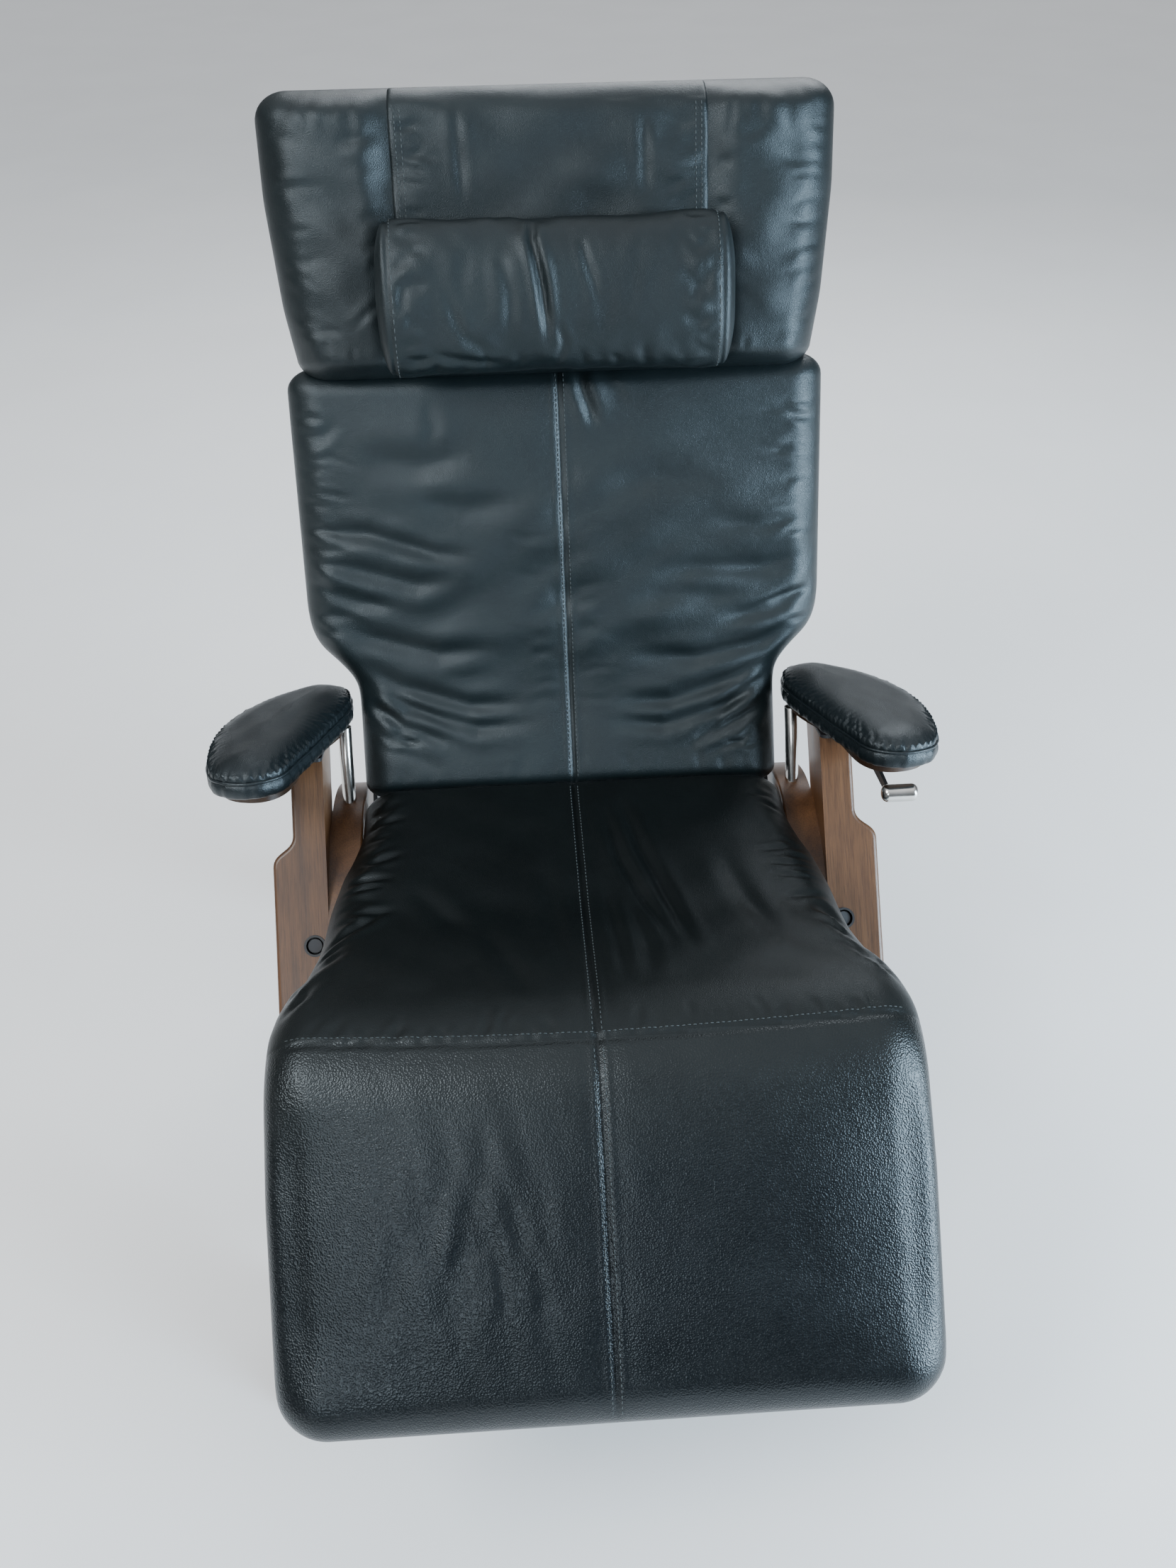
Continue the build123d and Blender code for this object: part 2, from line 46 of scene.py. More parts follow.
# ---- Side lines and pad surfaces ------------------------------------------------------------------------
class Track:
    """A line in the side view with rounded corners, walked by arc length. Points are (y, z) in millimetres."""

    def __init__(self, points, radii=()):
        pts = [np.array(((p[0]) / 1000 + HIP, p[1] / 1000)) for p in points]
        line = [pts[0]]
        for before, corner, after, radius in zip(pts, pts[1:], pts[2:], radii):
            radius = radius / 1000
            u, v = (before - corner), (after - corner)
            u, v = u / np.linalg.norm(u), v / np.linalg.norm(v)
            half = math.acos(float(u @ v)) / 2
            middle = corner + (u + v) / np.linalg.norm(u + v) * radius / math.sin(half)
            a = corner + u * radius / math.tan(half) - middle
            b = corner + v * radius / math.tan(half) - middle
            a0, a1 = math.atan2(a[1], a[0]), math.atan2(b[1], b[0])
            turn = (a1 - a0 + math.pi) % (2 * math.pi) - math.pi
            for k in range(41):
                w = a0 + turn * k / 40
                line.append(middle + radius * np.array((math.cos(w), math.sin(w))))
        line.append(pts[-1])
        line = np.array(line)
        gaps = np.linalg.norm(np.diff(line, axis=0), axis=1)
        s = np.concatenate([[0], np.cumsum(gaps)])
        self.length = float(s[-1])
        self.s = np.linspace(0, self.length, 800)
        self.p = np.stack([np.interp(self.s, s, line[:, k]) for k in (0, 1)], 1)
        t = np.gradient(self.p, self.s, axis=0)
        for _ in range(6):
            t[1:-1] = (t[:-2] + t[1:-1] + t[2:]) / 3
        self.t = t / np.linalg.norm(t, axis=1)[:, None]

    def place(self, x, s, n):
        """Points at x across, s along and n in front of the line."""
        y, z = np.interp(s, self.s, self.p[:, 0]), np.interp(s, self.s, self.p[:, 1])
        ty, tz = np.interp(s, self.s, self.t[:, 0]), np.interp(s, self.s, self.t[:, 1])
        over = np.minimum(s, 0) + np.maximum(s - self.length, 0)
        return np.stack([x, y + ty * over - tz * n, z + tz * over + ty * n], -1)


def ease(a, b, t):
    t = np.clip((t - a) / (b - a), 0, 1)
    return t * t * (3 - 2 * t)


def ripple(x, y, wide, high, seed, parts=9):
    """Smooth seeded noise between about -1 and 1, with its own size in each direction."""
    rng = np.random.default_rng(seed)
    total = np.zeros_like(x)
    for _ in range(parts):
        turn = rng.normal(0, 0.35)
        kx, ky = rng.uniform(0.5, 1.3) / wide, rng.uniform(0.5, 1.3) / high
        u = x * math.cos(turn) + y * math.sin(turn)
        v = -x * math.sin(turn) + y * math.cos(turn)
        bend = 0.8 * np.sin(u * kx * 2.1 + rng.uniform(0, 6.3))
        total += np.sin(2 * math.pi * (u * kx * rng.choice((-1, 1)) + v * ky) + bend + rng.uniform(0, 6.3))
    return total / parts * 1.7


def crease(x, s, points, depth, width, lip=0.45, taper=0.35):
    """A soft fold along a line of (x, s) points in millimetres: a valley with a lip on each side."""
    best = np.full(x.shape, 9.0)
    along = np.zeros_like(x)
    pts = [np.array(p) / 1000 for p in points]
    lengths = [np.linalg.norm(b - a) for a, b in zip(pts, pts[1:])]
    total, walked = sum(lengths), 0.0
    for a, b, length in zip(pts, pts[1:], lengths):
        d = (b - a) / length
        t = np.clip((x - a[0]) * d[0] + (s - a[1]) * d[1], 0, length)
        r = np.hypot(x - a[0] - d[0] * t, s - a[1] - d[1] * t)
        near = r < best
        best = np.where(near, r, best)
        along = np.where(near, (walked + t) / total, along)
        walked += length
    fade = np.minimum(ease(0, taper, along), ease(0, taper, 1 - along)) if taper else 1.0
    w = width / 1000
    valley = np.exp(-((best / w) ** 2))
    lips = np.exp(-(((best - 2.1 * w) / (1.2 * w)) ** 2))
    return depth / 1000 * fade * (lip * lips - valley)


def fan(x, s, seed, count, start, end, lean, long, depth, width):
    """Many small folds that run in from an edge. start and end are (x, s); lean is the direction in degrees."""
    rng = np.random.default_rng(seed)
    out = np.zeros_like(x)
    for k in range(count):
        f = (k + rng.uniform(0.1, 0.9)) / count
        px = start[0] + (end[0] - start[0]) * f
        ps = start[1] + (end[1] - start[1]) * f
        a = math.radians(lean[0] + (lean[1] - lean[0]) * f + rng.normal(0, 7))
        size = rng.uniform(*long)
        bow = rng.normal(0, 0.12) * size
        mid = (px + math.cos(a) * size / 2 - math.sin(a) * bow, ps + math.sin(a) * size / 2 + math.cos(a) * bow)
        tip = (px + math.cos(a) * size, ps + math.sin(a) * size)
        out += crease(x, s, [(px, ps), mid, tip], rng.uniform(*depth), rng.uniform(*width), taper=0.4)
    return out


class Pad:
    """A closed cushion along a track: a front and a back panel that meet at a seam round the edge."""

    def __init__(
        self, track, halves, front, back, corner, roll, crown, relief, span=None, lower=None, tight=(1, 1)
    ):
        self.track, self.front, self.back = track, front, back
        self.halves = halves  # (distance along, half width), in millimetres
        self.corner, self.roll, self.crown, self.relief = corner, roll, crown, relief
        self.start, self.end = span or (0.0, track.length)
        self.lower = lower or roll * 0.6
        self.tight = tight  # how much smaller the roll is at the start and at the end

    def half(self, s):
        at, width = zip(*self.halves)
        smooth = np.interp(s * 1000, at, width)
        for off in (-9, -4, 4, 9):
            smooth = smooth + np.interp(s * 1000 + off, at, width)
        return smooth / 5000

    def inside(self, x, s):
        """Distance in from the outline, whose corners are rounded."""
        a = self.half(s) - np.abs(x) - self.corner
        e = self.to_end(s) - self.corner
        far = np.hypot(np.minimum(a, 0), np.minimum(e, 0))
        return self.corner - far + np.maximum(np.minimum(a, e), 0)

    def to_end(self, s):
        return np.minimum((s - self.start) * self.tight[0], (self.end - s) * self.tight[1])

    def row_half(self, s):
        e = np.clip(self.to_end(s), 0, self.corner)
        return self.half(s) - (self.corner - np.sqrt(np.maximum(self.corner**2 - (self.corner - e) ** 2, 0)))

    def height(self, x, s):
        d = self.inside(x, s)
        t = np.clip(d / self.roll, 0, 1)
        edge = np.sqrt(np.clip(1 - (1 - t) ** 2, 0, 1))
        w = np.clip(1 - (x / self.half(s)) ** 2, 0, 1)
        k = (s - self.start) / (self.end - self.start)
        dome = w**0.8 * np.clip(4 * k * (1 - k), 0, 1) ** 0.5
        return self.front * edge + (self.crown * dome + self.relief(x, s)) * ease(0, 0.8, t)

    def top(self, x, s, lift=0.0):
        x, s = np.asarray(x, float), np.asarray(s, float)
        return self.track.place(x, s, self.height(x, s) + lift - self.front)

    def under(self, x, s):
        t = np.clip(self.inside(x, s) / self.lower, 0, 1)
        edge = np.sqrt(np.clip(1 - (1 - t) ** 2, 0, 1))
        soft = 0.0012 * ripple(x, s, 0.12, 0.09, 5)
        return self.track.place(x, s, -self.back * edge + soft * ease(0, 1, t) - self.front)

    def mesh(self, name, step=0.0036):
        def stations(length, roll):
            zone = [roll * (1 - math.cos(math.pi / 2 * k / 12)) for k in range(12)]
            middle = np.linspace(roll, length - roll, max(8, int((length - 2 * roll) / step)))
            return np.array([*zone, *middle, *[length - z for z in reversed(zone)]])

        s = self.start + stations(self.end - self.start, min(self.roll, (self.end - self.start) / 3))
        widest = max(w for _, w in self.halves) / 1000
        u = stations(2 * widest, self.roll) / widest - 1
        ns, nu = len(s), len(u)
        S = np.repeat(s[:, None], nu, 1)
        X = self.row_half(S) * u[None, :]
        front = self.top(X, S).reshape(-1, 3)
        back = self.under(X, S).reshape(-1, 3)
        index = np.arange(ns * nu).reshape(ns, nu)
        inner = np.zeros((ns, nu), bool)
        inner[1:-1, 1:-1] = True
        lower = index.copy()
        lower[inner] = ns * nu + np.arange(inner.sum())
        verts = np.concatenate([front, back[inner.ravel()]])
        quads = np.stack([index[:-1, :-1], index[:-1, 1:], index[1:, 1:], index[1:, :-1]], -1).reshape(-1, 4)
        under = np.stack([lower[:-1, :-1], lower[1:, :-1], lower[1:, 1:], lower[:-1, 1:]], -1).reshape(-1, 4)
        self.along = np.concatenate([S.ravel(), S[inner]])
        return new_mesh(name, verts, np.concatenate([quads, under]))


def new_mesh(name, verts, faces, smooth=True):
    mesh = bpy.data.meshes.new(name)
    mesh.from_pydata([tuple(map(float, v)) for v in verts], [], [tuple(map(int, f)) for f in faces])
    mesh.validate()
    mesh.update()
    if smooth:
        mesh.polygons.foreach_set("use_smooth", [True] * len(mesh.polygons))
    obj = bpy.data.objects.new(name, mesh)
    bpy.context.collection.objects.link(obj)
    return obj


def facing_out(obj):
    """Turns all faces outward."""
    bm = bmesh.new()
    bm.from_mesh(obj.data)
    bmesh.ops.recalc_face_normals(bm, faces=bm.faces)
    bm.to_mesh(obj.data)
    bm.free()
    return obj


def walk(points, step):
    """Even stations along a line of points."""
    p = np.array(points, float)
    gaps = np.linalg.norm(np.diff(p, axis=0), axis=1)
    at = np.concatenate([[0], np.cumsum(gaps)])
    n = max(2, int(at[-1] / step))
    s = (np.arange(n) + 0.5) * at[-1] / n
    return np.stack([np.interp(s, at, p[:, k]) for k in range(p.shape[1])], 1)


def stitches(name, surface, lines, size=0.0036, gap=0.0054, thick=0.00058):
    """Thread stitches sunk into a surface along lines of (x, s) points in millimetres."""
    verts, faces = [], []
    for line in lines:
        path = walk(np.array(line) / 1000, gap)
        if len(path) < 3:
            continue
        d = np.gradient(path, axis=0)
        d /= np.linalg.norm(d, axis=1)[:, None]
        a, b = path - d * size / 2, path + d * size / 2
        A, B, M = surface(a[:, 0], a[:, 1]), surface(b[:, 0], b[:, 1]), surface(path[:, 0], path[:, 1])
        side = path + np.stack([-d[:, 1], d[:, 0]], 1) * 0.001
        across = surface(side[:, 0], side[:, 1]) - M
        for p, q, c in zip(A, B, across):
            t = q - p
            t /= np.linalg.norm(t) + 1e-9
            c = c - t * (c @ t)
            c /= np.linalg.norm(c) + 1e-9
            up = np.cross(t, c)
            base = len(verts)
            verts.append(p - t * 0.0003 - up * thick * 0.6)
            for f in (0.2, 0.8):
                m = p + (q - p) * f
                for k in range(6):
                    w = 2 * math.pi * k / 6
                    verts.append(m + c * thick * math.cos(w) + up * (thick * 0.9 * math.sin(w) + thick * 0.25))
            verts.append(q + t * 0.0003 - up * thick * 0.6)
            for k in range(6):
                j = (k + 1) % 6
                faces.append((base, base + 1 + j, base + 1 + k))
                faces.append((base + 1 + k, base + 1 + j, base + 7 + j, base + 7 + k))
                faces.append((base + 7 + k, base + 7 + j, base + 13))
    return new_mesh(name, verts, faces)


# ---- Materials --------------------------------------------------------------------------------------------
def material(name, base, rough, metal=0.0, **sockets):
    mat = bpy.data.materials.new(name)
    mat.use_nodes = True
    tree = mat.node_tree
    shader = tree.nodes["Principled BSDF"]
    shader.inputs["Base Color"].default_value = (*base, 1)
    shader.inputs["Roughness"].default_value = rough
    shader.inputs["Metallic"].default_value = metal
    for key, value in sockets.items():
        shader.inputs[key.replace("_", " ")].default_value = value
    return mat, tree, shader


def node(tree, kind, **values):
    n = tree.nodes.new(kind)
    for key, value in values.items():
        if hasattr(n, key):
            setattr(n, key, value)
        else:
            n.inputs[key.replace("_", " ")].default_value = value
    return n


def coords(tree, scale=(1, 1, 1), rotation=(0, 0, 0)):
    """Object coordinates, turned and then scaled."""
    source = node(tree, "ShaderNodeTexCoord")
    turned = node(tree, "ShaderNodeMapping")
    turned.inputs["Rotation"].default_value = rotation
    scaled = node(tree, "ShaderNodeMapping")
    scaled.inputs["Scale"].default_value = scale
    tree.links.new(source.outputs["Object"], turned.inputs["Vector"])
    tree.links.new(turned.outputs["Vector"], scaled.inputs["Vector"])
    return scaled.outputs["Vector"]


def ramp(tree, source, stops):
    r = node(tree, "ShaderNodeValToRGB")
    elements = r.color_ramp.elements
    while len(elements) < len(stops):
        elements.new(0.5)
    for element, (at, colour) in zip(elements, stops):
        element.position = at
        element.color = (*colour, 1)
    tree.links.new(source, r.inputs["Fac"])
    return r.outputs["Color"]


def scale_to(tree, source, low, high):
    m = node(tree, "ShaderNodeMapRange")
    m.inputs["To Min"].default_value = low
    m.inputs["To Max"].default_value = high
    tree.links.new(source, m.inputs["Value"])
    return m.outputs["Result"]


def bump(tree, shader, layers):
    """Stacks bump layers of (height, strength, distance)."""
    last = None
    for height, strength, distance in layers:
        b = node(tree, "ShaderNodeBump")
        b.inputs["Strength"].default_value = strength
        b.inputs["Distance"].default_value = distance
        tree.links.new(height, b.inputs["Height"])
        if last:
            tree.links.new(last, b.inputs["Normal"])
        last = b.outputs["Normal"]
    tree.links.new(last, shader.inputs["Normal"])


def toward_knee(tree, colour, patches, at, dark_y, pale_y, pale):
    """Leather that grows paler between two places along Y, in soft patches."""
    split = node(tree, "ShaderNodeSeparateXYZ")
    tree.links.new(at, split.inputs["Vector"])
    zone = node(tree, "ShaderNodeMapRange")
    zone.interpolation_type = "SMOOTHSTEP"
    zone.inputs["From Min"].default_value = dark_y
    zone.inputs["From Max"].default_value = pale_y
    tree.links.new(split.outputs["Y"], zone.inputs["Value"])
    patch = scale_to(tree, patches, 0.55, 1.25)
    amount = node(tree, "ShaderNodeMath")
    amount.operation = "MULTIPLY"
    amount.use_clamp = True
    tree.links.new(zone.outputs["Result"], amount.inputs[0])
    tree.links.new(patch, amount.inputs[1])
    mix = node(tree, "ShaderNodeMix")
    mix.data_type = "RGBA"
    mix.inputs["B"].default_value = (*pale, 1)
    tree.links.new(amount.outputs["Value"], mix.inputs["Factor"])
    tree.links.new(colour, mix.inputs["A"])
    return mix.outputs["Result"]


def leather(name, dark, light, rough, pebble, grain=900.0, crinkle=0.25, shine=0.36, worn=None):
    mat, tree, shader = material(name, light, rough, Specular_IOR_Level=shine)
    # The bluish Specular Tint is a painted tint of bluish window light on every leather reflection.
    shader.inputs["Specular Tint"].default_value = (0.86, 0.95, 1.0, 1)
    at = coords(tree)
    cloud = node(tree, "ShaderNodeTexNoise", Scale=7.0, Detail=5.0, Roughness=0.6)
    tree.links.new(at, cloud.inputs["Vector"])
    colour = ramp(tree, cloud.outputs["Fac"], [(0.3, dark), (0.72, light)])
    wear = node(tree, "ShaderNodeTexNoise", Scale=23.0, Detail=6.0, Roughness=0.65)
    if worn:
        colour = toward_knee(tree, colour, wear.outputs["Fac"], at, *worn)
    tree.links.new(colour, shader.inputs["Base Color"])
    tree.links.new(at, wear.inputs["Vector"])
    tree.links.new(scale_to(tree, wear.outputs["Fac"], rough - 0.08, rough + 0.12), shader.inputs["Roughness"])
    cells = node(tree, "ShaderNodeTexVoronoi", Scale=grain, Randomness=0.95)
    cells.feature = "SMOOTH_F1"
    cells.inputs["Smoothness"].default_value = 0.35
    bend = node(tree, "ShaderNodeTexNoise", Scale=grain * 0.4, Detail=3.0)
    mix = node(tree, "ShaderNodeVectorMath")
    mix.operation = "MULTIPLY_ADD"
    mix.inputs[1].default_value = (0.0012, 0.0012, 0.0012)
    tree.links.new(at, bend.inputs["Vector"])
    tree.links.new(bend.outputs["Color"], mix.inputs[0])
    tree.links.new(at, mix.inputs[2])
    tree.links.new(mix.outputs["Vector"], cells.inputs["Vector"])
    pores = node(tree, "ShaderNodeTexNoise", Scale=grain * 2.4, Detail=3.0, Roughness=0.6)
    tree.links.new(at, pores.inputs["Vector"])
    lines = node(tree, "ShaderNodeTexNoise", Scale=70.0, Detail=8.0, Roughness=0.62, Distortion=1.2)
    tree.links.new(at, lines.inputs["Vector"])
    swell = node(tree, "ShaderNodeTexNoise", Scale=16.0, Detail=3.0, Roughness=0.5, Distortion=0.6)
    tree.links.new(at, swell.inputs["Vector"])
    bump(
        tree,
        shader,
        [
            (swell.outputs["Fac"], crinkle, 0.0035),
            (lines.outputs["Fac"], crinkle, 0.0012),
            (cells.outputs["Distance"], pebble, 0.0009),
            (pores.outputs["Fac"], pebble * 0.5, 0.0003),
        ],
    )
    return mat


def wood(name, rotation, tint=1.0):
    """Oiled walnut, with its grain along the local X of a rotated frame."""
    mat, tree, shader = material(name, (0.2, 0.1, 0.05), 0.42, Coat_Weight=0.12, Coat_Roughness=0.25)
    long = coords(tree, (2.2, 26, 26), rotation)
    band = node(tree, "ShaderNodeTexNoise", Scale=1.0, Detail=8.0, Roughness=0.62, Distortion=0.5)
    tree.links.new(long, band.inputs["Vector"])
    c = [(0.045, 0.018, 0.0062), (0.098, 0.041, 0.0135), (0.150, 0.068, 0.0245)]
    c = [tuple(v * tint for v in k) for k in c]
    base = ramp(tree, band.outputs["Fac"], [(0.3, c[0]), (0.5, c[1]), (0.7, c[2])])
    fine = coords(tree, (26, 620, 620), rotation)
    pore = node(tree, "ShaderNodeTexNoise", Scale=1.0, Detail=4.0, Roughness=0.7)
    tree.links.new(fine, pore.inputs["Vector"])
    streak = ramp(tree, pore.outputs["Fac"], [(0.36, (0.45, 0.4, 0.36)), (0.56, (1, 1, 1))])
    mix = node(tree, "ShaderNodeMix")
    mix.data_type = "RGBA"
    mix.blend_type = "MULTIPLY"
    mix.inputs["Factor"].default_value = 0.75
    tree.links.new(base, mix.inputs["A"])
    tree.links.new(streak, mix.inputs["B"])
    tree.links.new(mix.outputs["Result"], shader.inputs["Base Color"])
    tree.links.new(scale_to(tree, band.outputs["Fac"], 0.34, 0.52), shader.inputs["Roughness"])
    bump(tree, shader, [(band.outputs["Fac"], 0.15, 0.0008), (pore.outputs["Fac"], 0.35, 0.0003)])
    return mat


def metal(name, base, rough, brushed=0.15, metallic=1.0, scale=(30, 400, 400)):
    mat, tree, shader = material(name, base, rough, metallic)
    at = coords(tree, scale)
    n = node(tree, "ShaderNodeTexNoise", Scale=1.0, Detail=5.0, Roughness=0.6)
    tree.links.new(at, n.inputs["Vector"])
    spot = node(tree, "ShaderNodeTexNoise", Scale=40.0, Detail=4.0)
    tree.links.new(coords(tree), spot.inputs["Vector"])
    tree.links.new(scale_to(tree, spot.outputs["Fac"], rough * 0.75, rough * 1.35), shader.inputs["Roughness"])
    tint = ramp(tree, spot.outputs["Fac"], [(0.3, tuple(c * 0.82 for c in base)), (0.65, base)])
    tree.links.new(tint, shader.inputs["Base Color"])
    bump(tree, shader, [(n.outputs["Fac"], brushed, 0.0003)])
    return mat


def plastic(name, base, rough, scale=500.0):
    mat, tree, shader = material(name, base, rough)
    at = coords(tree)
    n = node(tree, "ShaderNodeTexNoise", Scale=scale, Detail=3.0)
    wear = node(tree, "ShaderNodeTexNoise", Scale=35.0, Detail=5.0)
    for k in (n, wear):
        tree.links.new(at, k.inputs["Vector"])
    tree.links.new(scale_to(tree, wear.outputs["Fac"], rough - 0.1, rough + 0.12), shader.inputs["Roughness"])
    dark, light = tuple(c * 0.8 for c in base), tuple(c * 1.25 for c in base)
    tint = ramp(tree, wear.outputs["Fac"], [(0.3, dark), (0.7, light)])
    tree.links.new(tint, shader.inputs["Base Color"])
    bump(tree, shader, [(n.outputs["Fac"], 0.3, 0.0002)])
    return mat


def webbing(name):
    mat, tree, shader = material(name, (0.03, 0.03, 0.034), 0.8, Sheen_Weight=0.3)
    at = coords(tree)
    warp = node(tree, "ShaderNodeTexWave", Scale=260.0, Distortion=0.4)
    warp.bands_direction = "X"
    weft = node(tree, "ShaderNodeTexWave", Scale=300.0, Distortion=0.4)
    weft.bands_direction = "Z"
    for k in (warp, weft):
        tree.links.new(at, k.inputs["Vector"])
    both = node(tree, "ShaderNodeMath")
    both.operation = "MAXIMUM"
    tree.links.new(warp.outputs["Fac"], both.inputs[0])
    tree.links.new(weft.outputs["Fac"], both.inputs[1])
    colour = ramp(tree, both.outputs["Value"], [(0.2, (0.012, 0.012, 0.014)), (0.9, (0.05, 0.05, 0.056))])
    tree.links.new(colour, shader.inputs["Base Color"])
    bump(tree, shader, [(both.outputs["Value"], 0.6, 0.0006)])
    return mat


KNEE_PALE = (0.0064, 0.0078, 0.0077)
# All five leathers are one near-black leather. The teal lean in their colours is painted bluish window light,
# and the seat and calf copies are made darker as painted shade.
back_leather = leather(
    "back_leather", (0.0040, 0.0070, 0.0078), (0.0078, 0.0130, 0.0146), 0.34, 0.3, 1100, 0.22, 0.48
)
head_leather = leather(
    "head_leather", (0.0034, 0.0060, 0.0067), (0.0066, 0.0110, 0.0122), 0.36, 0.3, 1100, 0.22, 0.44
)
# A darker copy of the leather: painted shade on the seat under the back, with a painted dark reflection of the
# back.
shaded_seat_leather = leather(
    "shaded_seat_leather", (0.0010, 0.0017, 0.0017), (0.0026, 0.0042, 0.0042), 0.36, 0.25, 1000, 0.14, 0.28,
    worn=(-0.08, -0.23, KNEE_PALE),
)  # fmt: skip
# A darker copy of the leather: painted shade on the calf panel. Its coarser pebble grain is real.
shaded_calf_leather = leather(
    "shaded_calf_leather", (0.0008, 0.0017, 0.0025), (0.0020, 0.0035, 0.0048), 0.29, 0.45, 560, 0.12, 0.38,
    worn=(-0.40, -0.28, KNEE_PALE),
)  # fmt: skip
arm_leather = leather(
    "arm_leather", (0.0024, 0.0046, 0.0056), (0.0052, 0.0088, 0.0105), 0.32, 0.3, 1000, 0.1, 0.5
)


def thread_material():
    mat, tree, shader = material("thread", (0.035, 0.042, 0.044), 0.6)
    noise = node(tree, "ShaderNodeTexNoise", Scale=900.0)
    tree.links.new(coords(tree), noise.inputs["Vector"])
    colour = ramp(tree, noise.outputs["Fac"], [(0.3, (0.018, 0.023, 0.024)), (0.7, (0.052, 0.064, 0.066))])
    tree.links.new(colour, shader.inputs["Base Color"])
    return mat


thread = thread_material()


# ---- Seat and calf pad --------------------------------------------------------------------------------------
seat_track = Track([(-566, 296), (-312, 532), (-112, 486), (116, 479)], [120, 260])
KNEE = 0.338  # the cross seam's distance along the track at the middle
TWIN = (-4.4, 4.4)  # the two stitch rows beside a centre seam, in millimetres


def knee_line(x):
    return KNEE + 0.014 * (x / 0.3) ** 2


def seat_relief(x, s):
    z = np.zeros_like(x)
    calf = 1 - ease(0.30, 0.36, s)
    side = np.clip(np.abs(x) / 0.3, 0, 1)
    z += calf * (0.006 * (1 - side**2) - 0.013 * side**4) * ease(-0.01, 0.10, s) * (1 - ease(0.22, 0.36, s))
    z += crease(x, s, [(0, -40), (0, 820)], 3.6, 2.6, lip=0.35, taper=0)
    z += crease(x, s, [(0, -40), (0, 820)], 2.0, 16, lip=0.0, taper=0)
    line = knee_line(x)
    gap = np.abs(s - line)
    z += -0.0024 * np.exp(-((gap / 0.0021) ** 2)) + 0.0004 * np.exp(-(((gap - 0.006) / 0.005) ** 2))
    z += -0.0007 * np.exp(-((gap / 0.016) ** 2))
    z += 0.0009 * ripple(x, s, 0.10, 0.08, 21) * ease(0.36, 0.45, s)
    worn = np.exp(-(((x + 0.12) / 0.085) ** 2) - (((s - 0.15) / 0.11) ** 2))
    z += 0.0013 * ripple(x, s, 0.042, 0.26, 22) * calf * (0.08 + worn)
    z += 0.0004 * ripple(x, s, 0.018, 0.12, 24) * calf * worn
    z += fan(x, s, 38, 9, (-215, 250), (-40, 230), (-94, -88), (90, 160), (0.3, 0.7), (7, 11))
    z += fan(x, s, 39, 8, (-235, 170), (-60, 150), (-94, -88), (80, 140), (0.3, 0.6), (7, 11))
    long_folds = [
        ([(50, 750), (66, 650), (92, 540), (110, 440)], 3.8, 7),
        ([(30, 730), (44, 620), (74, 520), (92, 450)], 3.4, 6),
        ([(22, 600), (30, 480), (34, 392)], 2.2, 6),
        ([(48, 560), (60, 470), (60, 400)], 1.8, 7),
        ([(150, 640), (176, 540), (200, 470)], 2.2, 11),
        ([(-40, 640), (-34, 520), (-20, 400)], 1.6, 9),
        ([(-110, 520), (-80, 440), (-60, 380)], 1.8, 10),
        ([(-190, 600), (-150, 540), (-120, 500)], 1.6, 10),
    ]
    for points, depth, width in long_folds:
        z += crease(x, s, points, depth, width)
    z += fan(x, s, 31, 16, (-262, 740), (-274, 540), (20, -10), (30, 80), (1.4, 3.2), (2.5, 5))
    z += fan(x, s, 32, 14, (262, 740), (274, 540), (160, 190), (30, 80), (1.2, 2.8), (2.5, 5))
    z += fan(x, s, 33, 11, (-288, 500), (-312, 380), (40, 70), (40, 110), (2.2, 4.6), (3.5, 7))
    z += fan(x, s, 34, 11, (288, 500), (312, 380), (140, 110), (40, 110), (2.2, 4.6), (3.5, 7))
    z += fan(x, s, 35, 14, (-280, 345), (-30, 336), (60, 100), (16, 42), (0.7, 1.5), (2.5, 4.5))
    z += fan(x, s, 36, 14, (30, 336), (280, 345), (80, 120), (16, 42), (0.7, 1.5), (2.5, 4.5))
    z += fan(x, s, 37, 8, (-150, 120), (-60, 60), (80, 100), (60, 140), (0.6, 1.3), (5, 9))
    return z


SEAT_HALVES = [
    (-60, 307), (0, 308), (36, 313), (200, 318), (380, 317), (415, 314), (448, 306), (466, 294),
    (515, 284), (590, 277), (640, 268), (665, 260), (700, 252), (720, 250), (900, 250),
]  # fmt: skip
seat_pad = Pad(
    seat_track,
    SEAT_HALVES,
    front=0.036,
    back=0.021,
    corner=0.045,
    roll=0.048,
    crown=0.007,
    relief=seat_relief,
    span=(-0.013, seat_track.length + 0.012),
    lower=0.02,
    tight=(1.1, 2.2),
)
seat = facing_out(seat_pad.mesh("seat_calf_cushion"))
seat.data.materials.append(shaded_seat_leather)
seat.data.materials.append(shaded_calf_leather)
for face in seat.data.polygons:
    v = seat.data.vertices[face.vertices[0]].co
    s = seat_pad.along[face.vertices[0]]
    face.material_index = 1 if s < knee_line(v.x) else 0
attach(seat, "seat")
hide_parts("seat_and_calf_pad")

centre_lines = [[(k, 0), (k, 330)] for k in TWIN] + [[(k, 346), (k, 758)] for k in TWIN]
knee_above = [[(x, knee_line(x / 1000) * 1000 + 7) for x in range(-296, 300, 8)]]
seat_thread = stitches("seat_stitching", seat_pad.top, centre_lines + knee_above)
seat_thread.data.materials.append(thread)
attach(seat_thread, "seat")


# ---- Back pad -----------------------------------------------------------------------------------------------
back_track = Track([(132, 481), (192, 566), (321.9, 914.6)], [320])


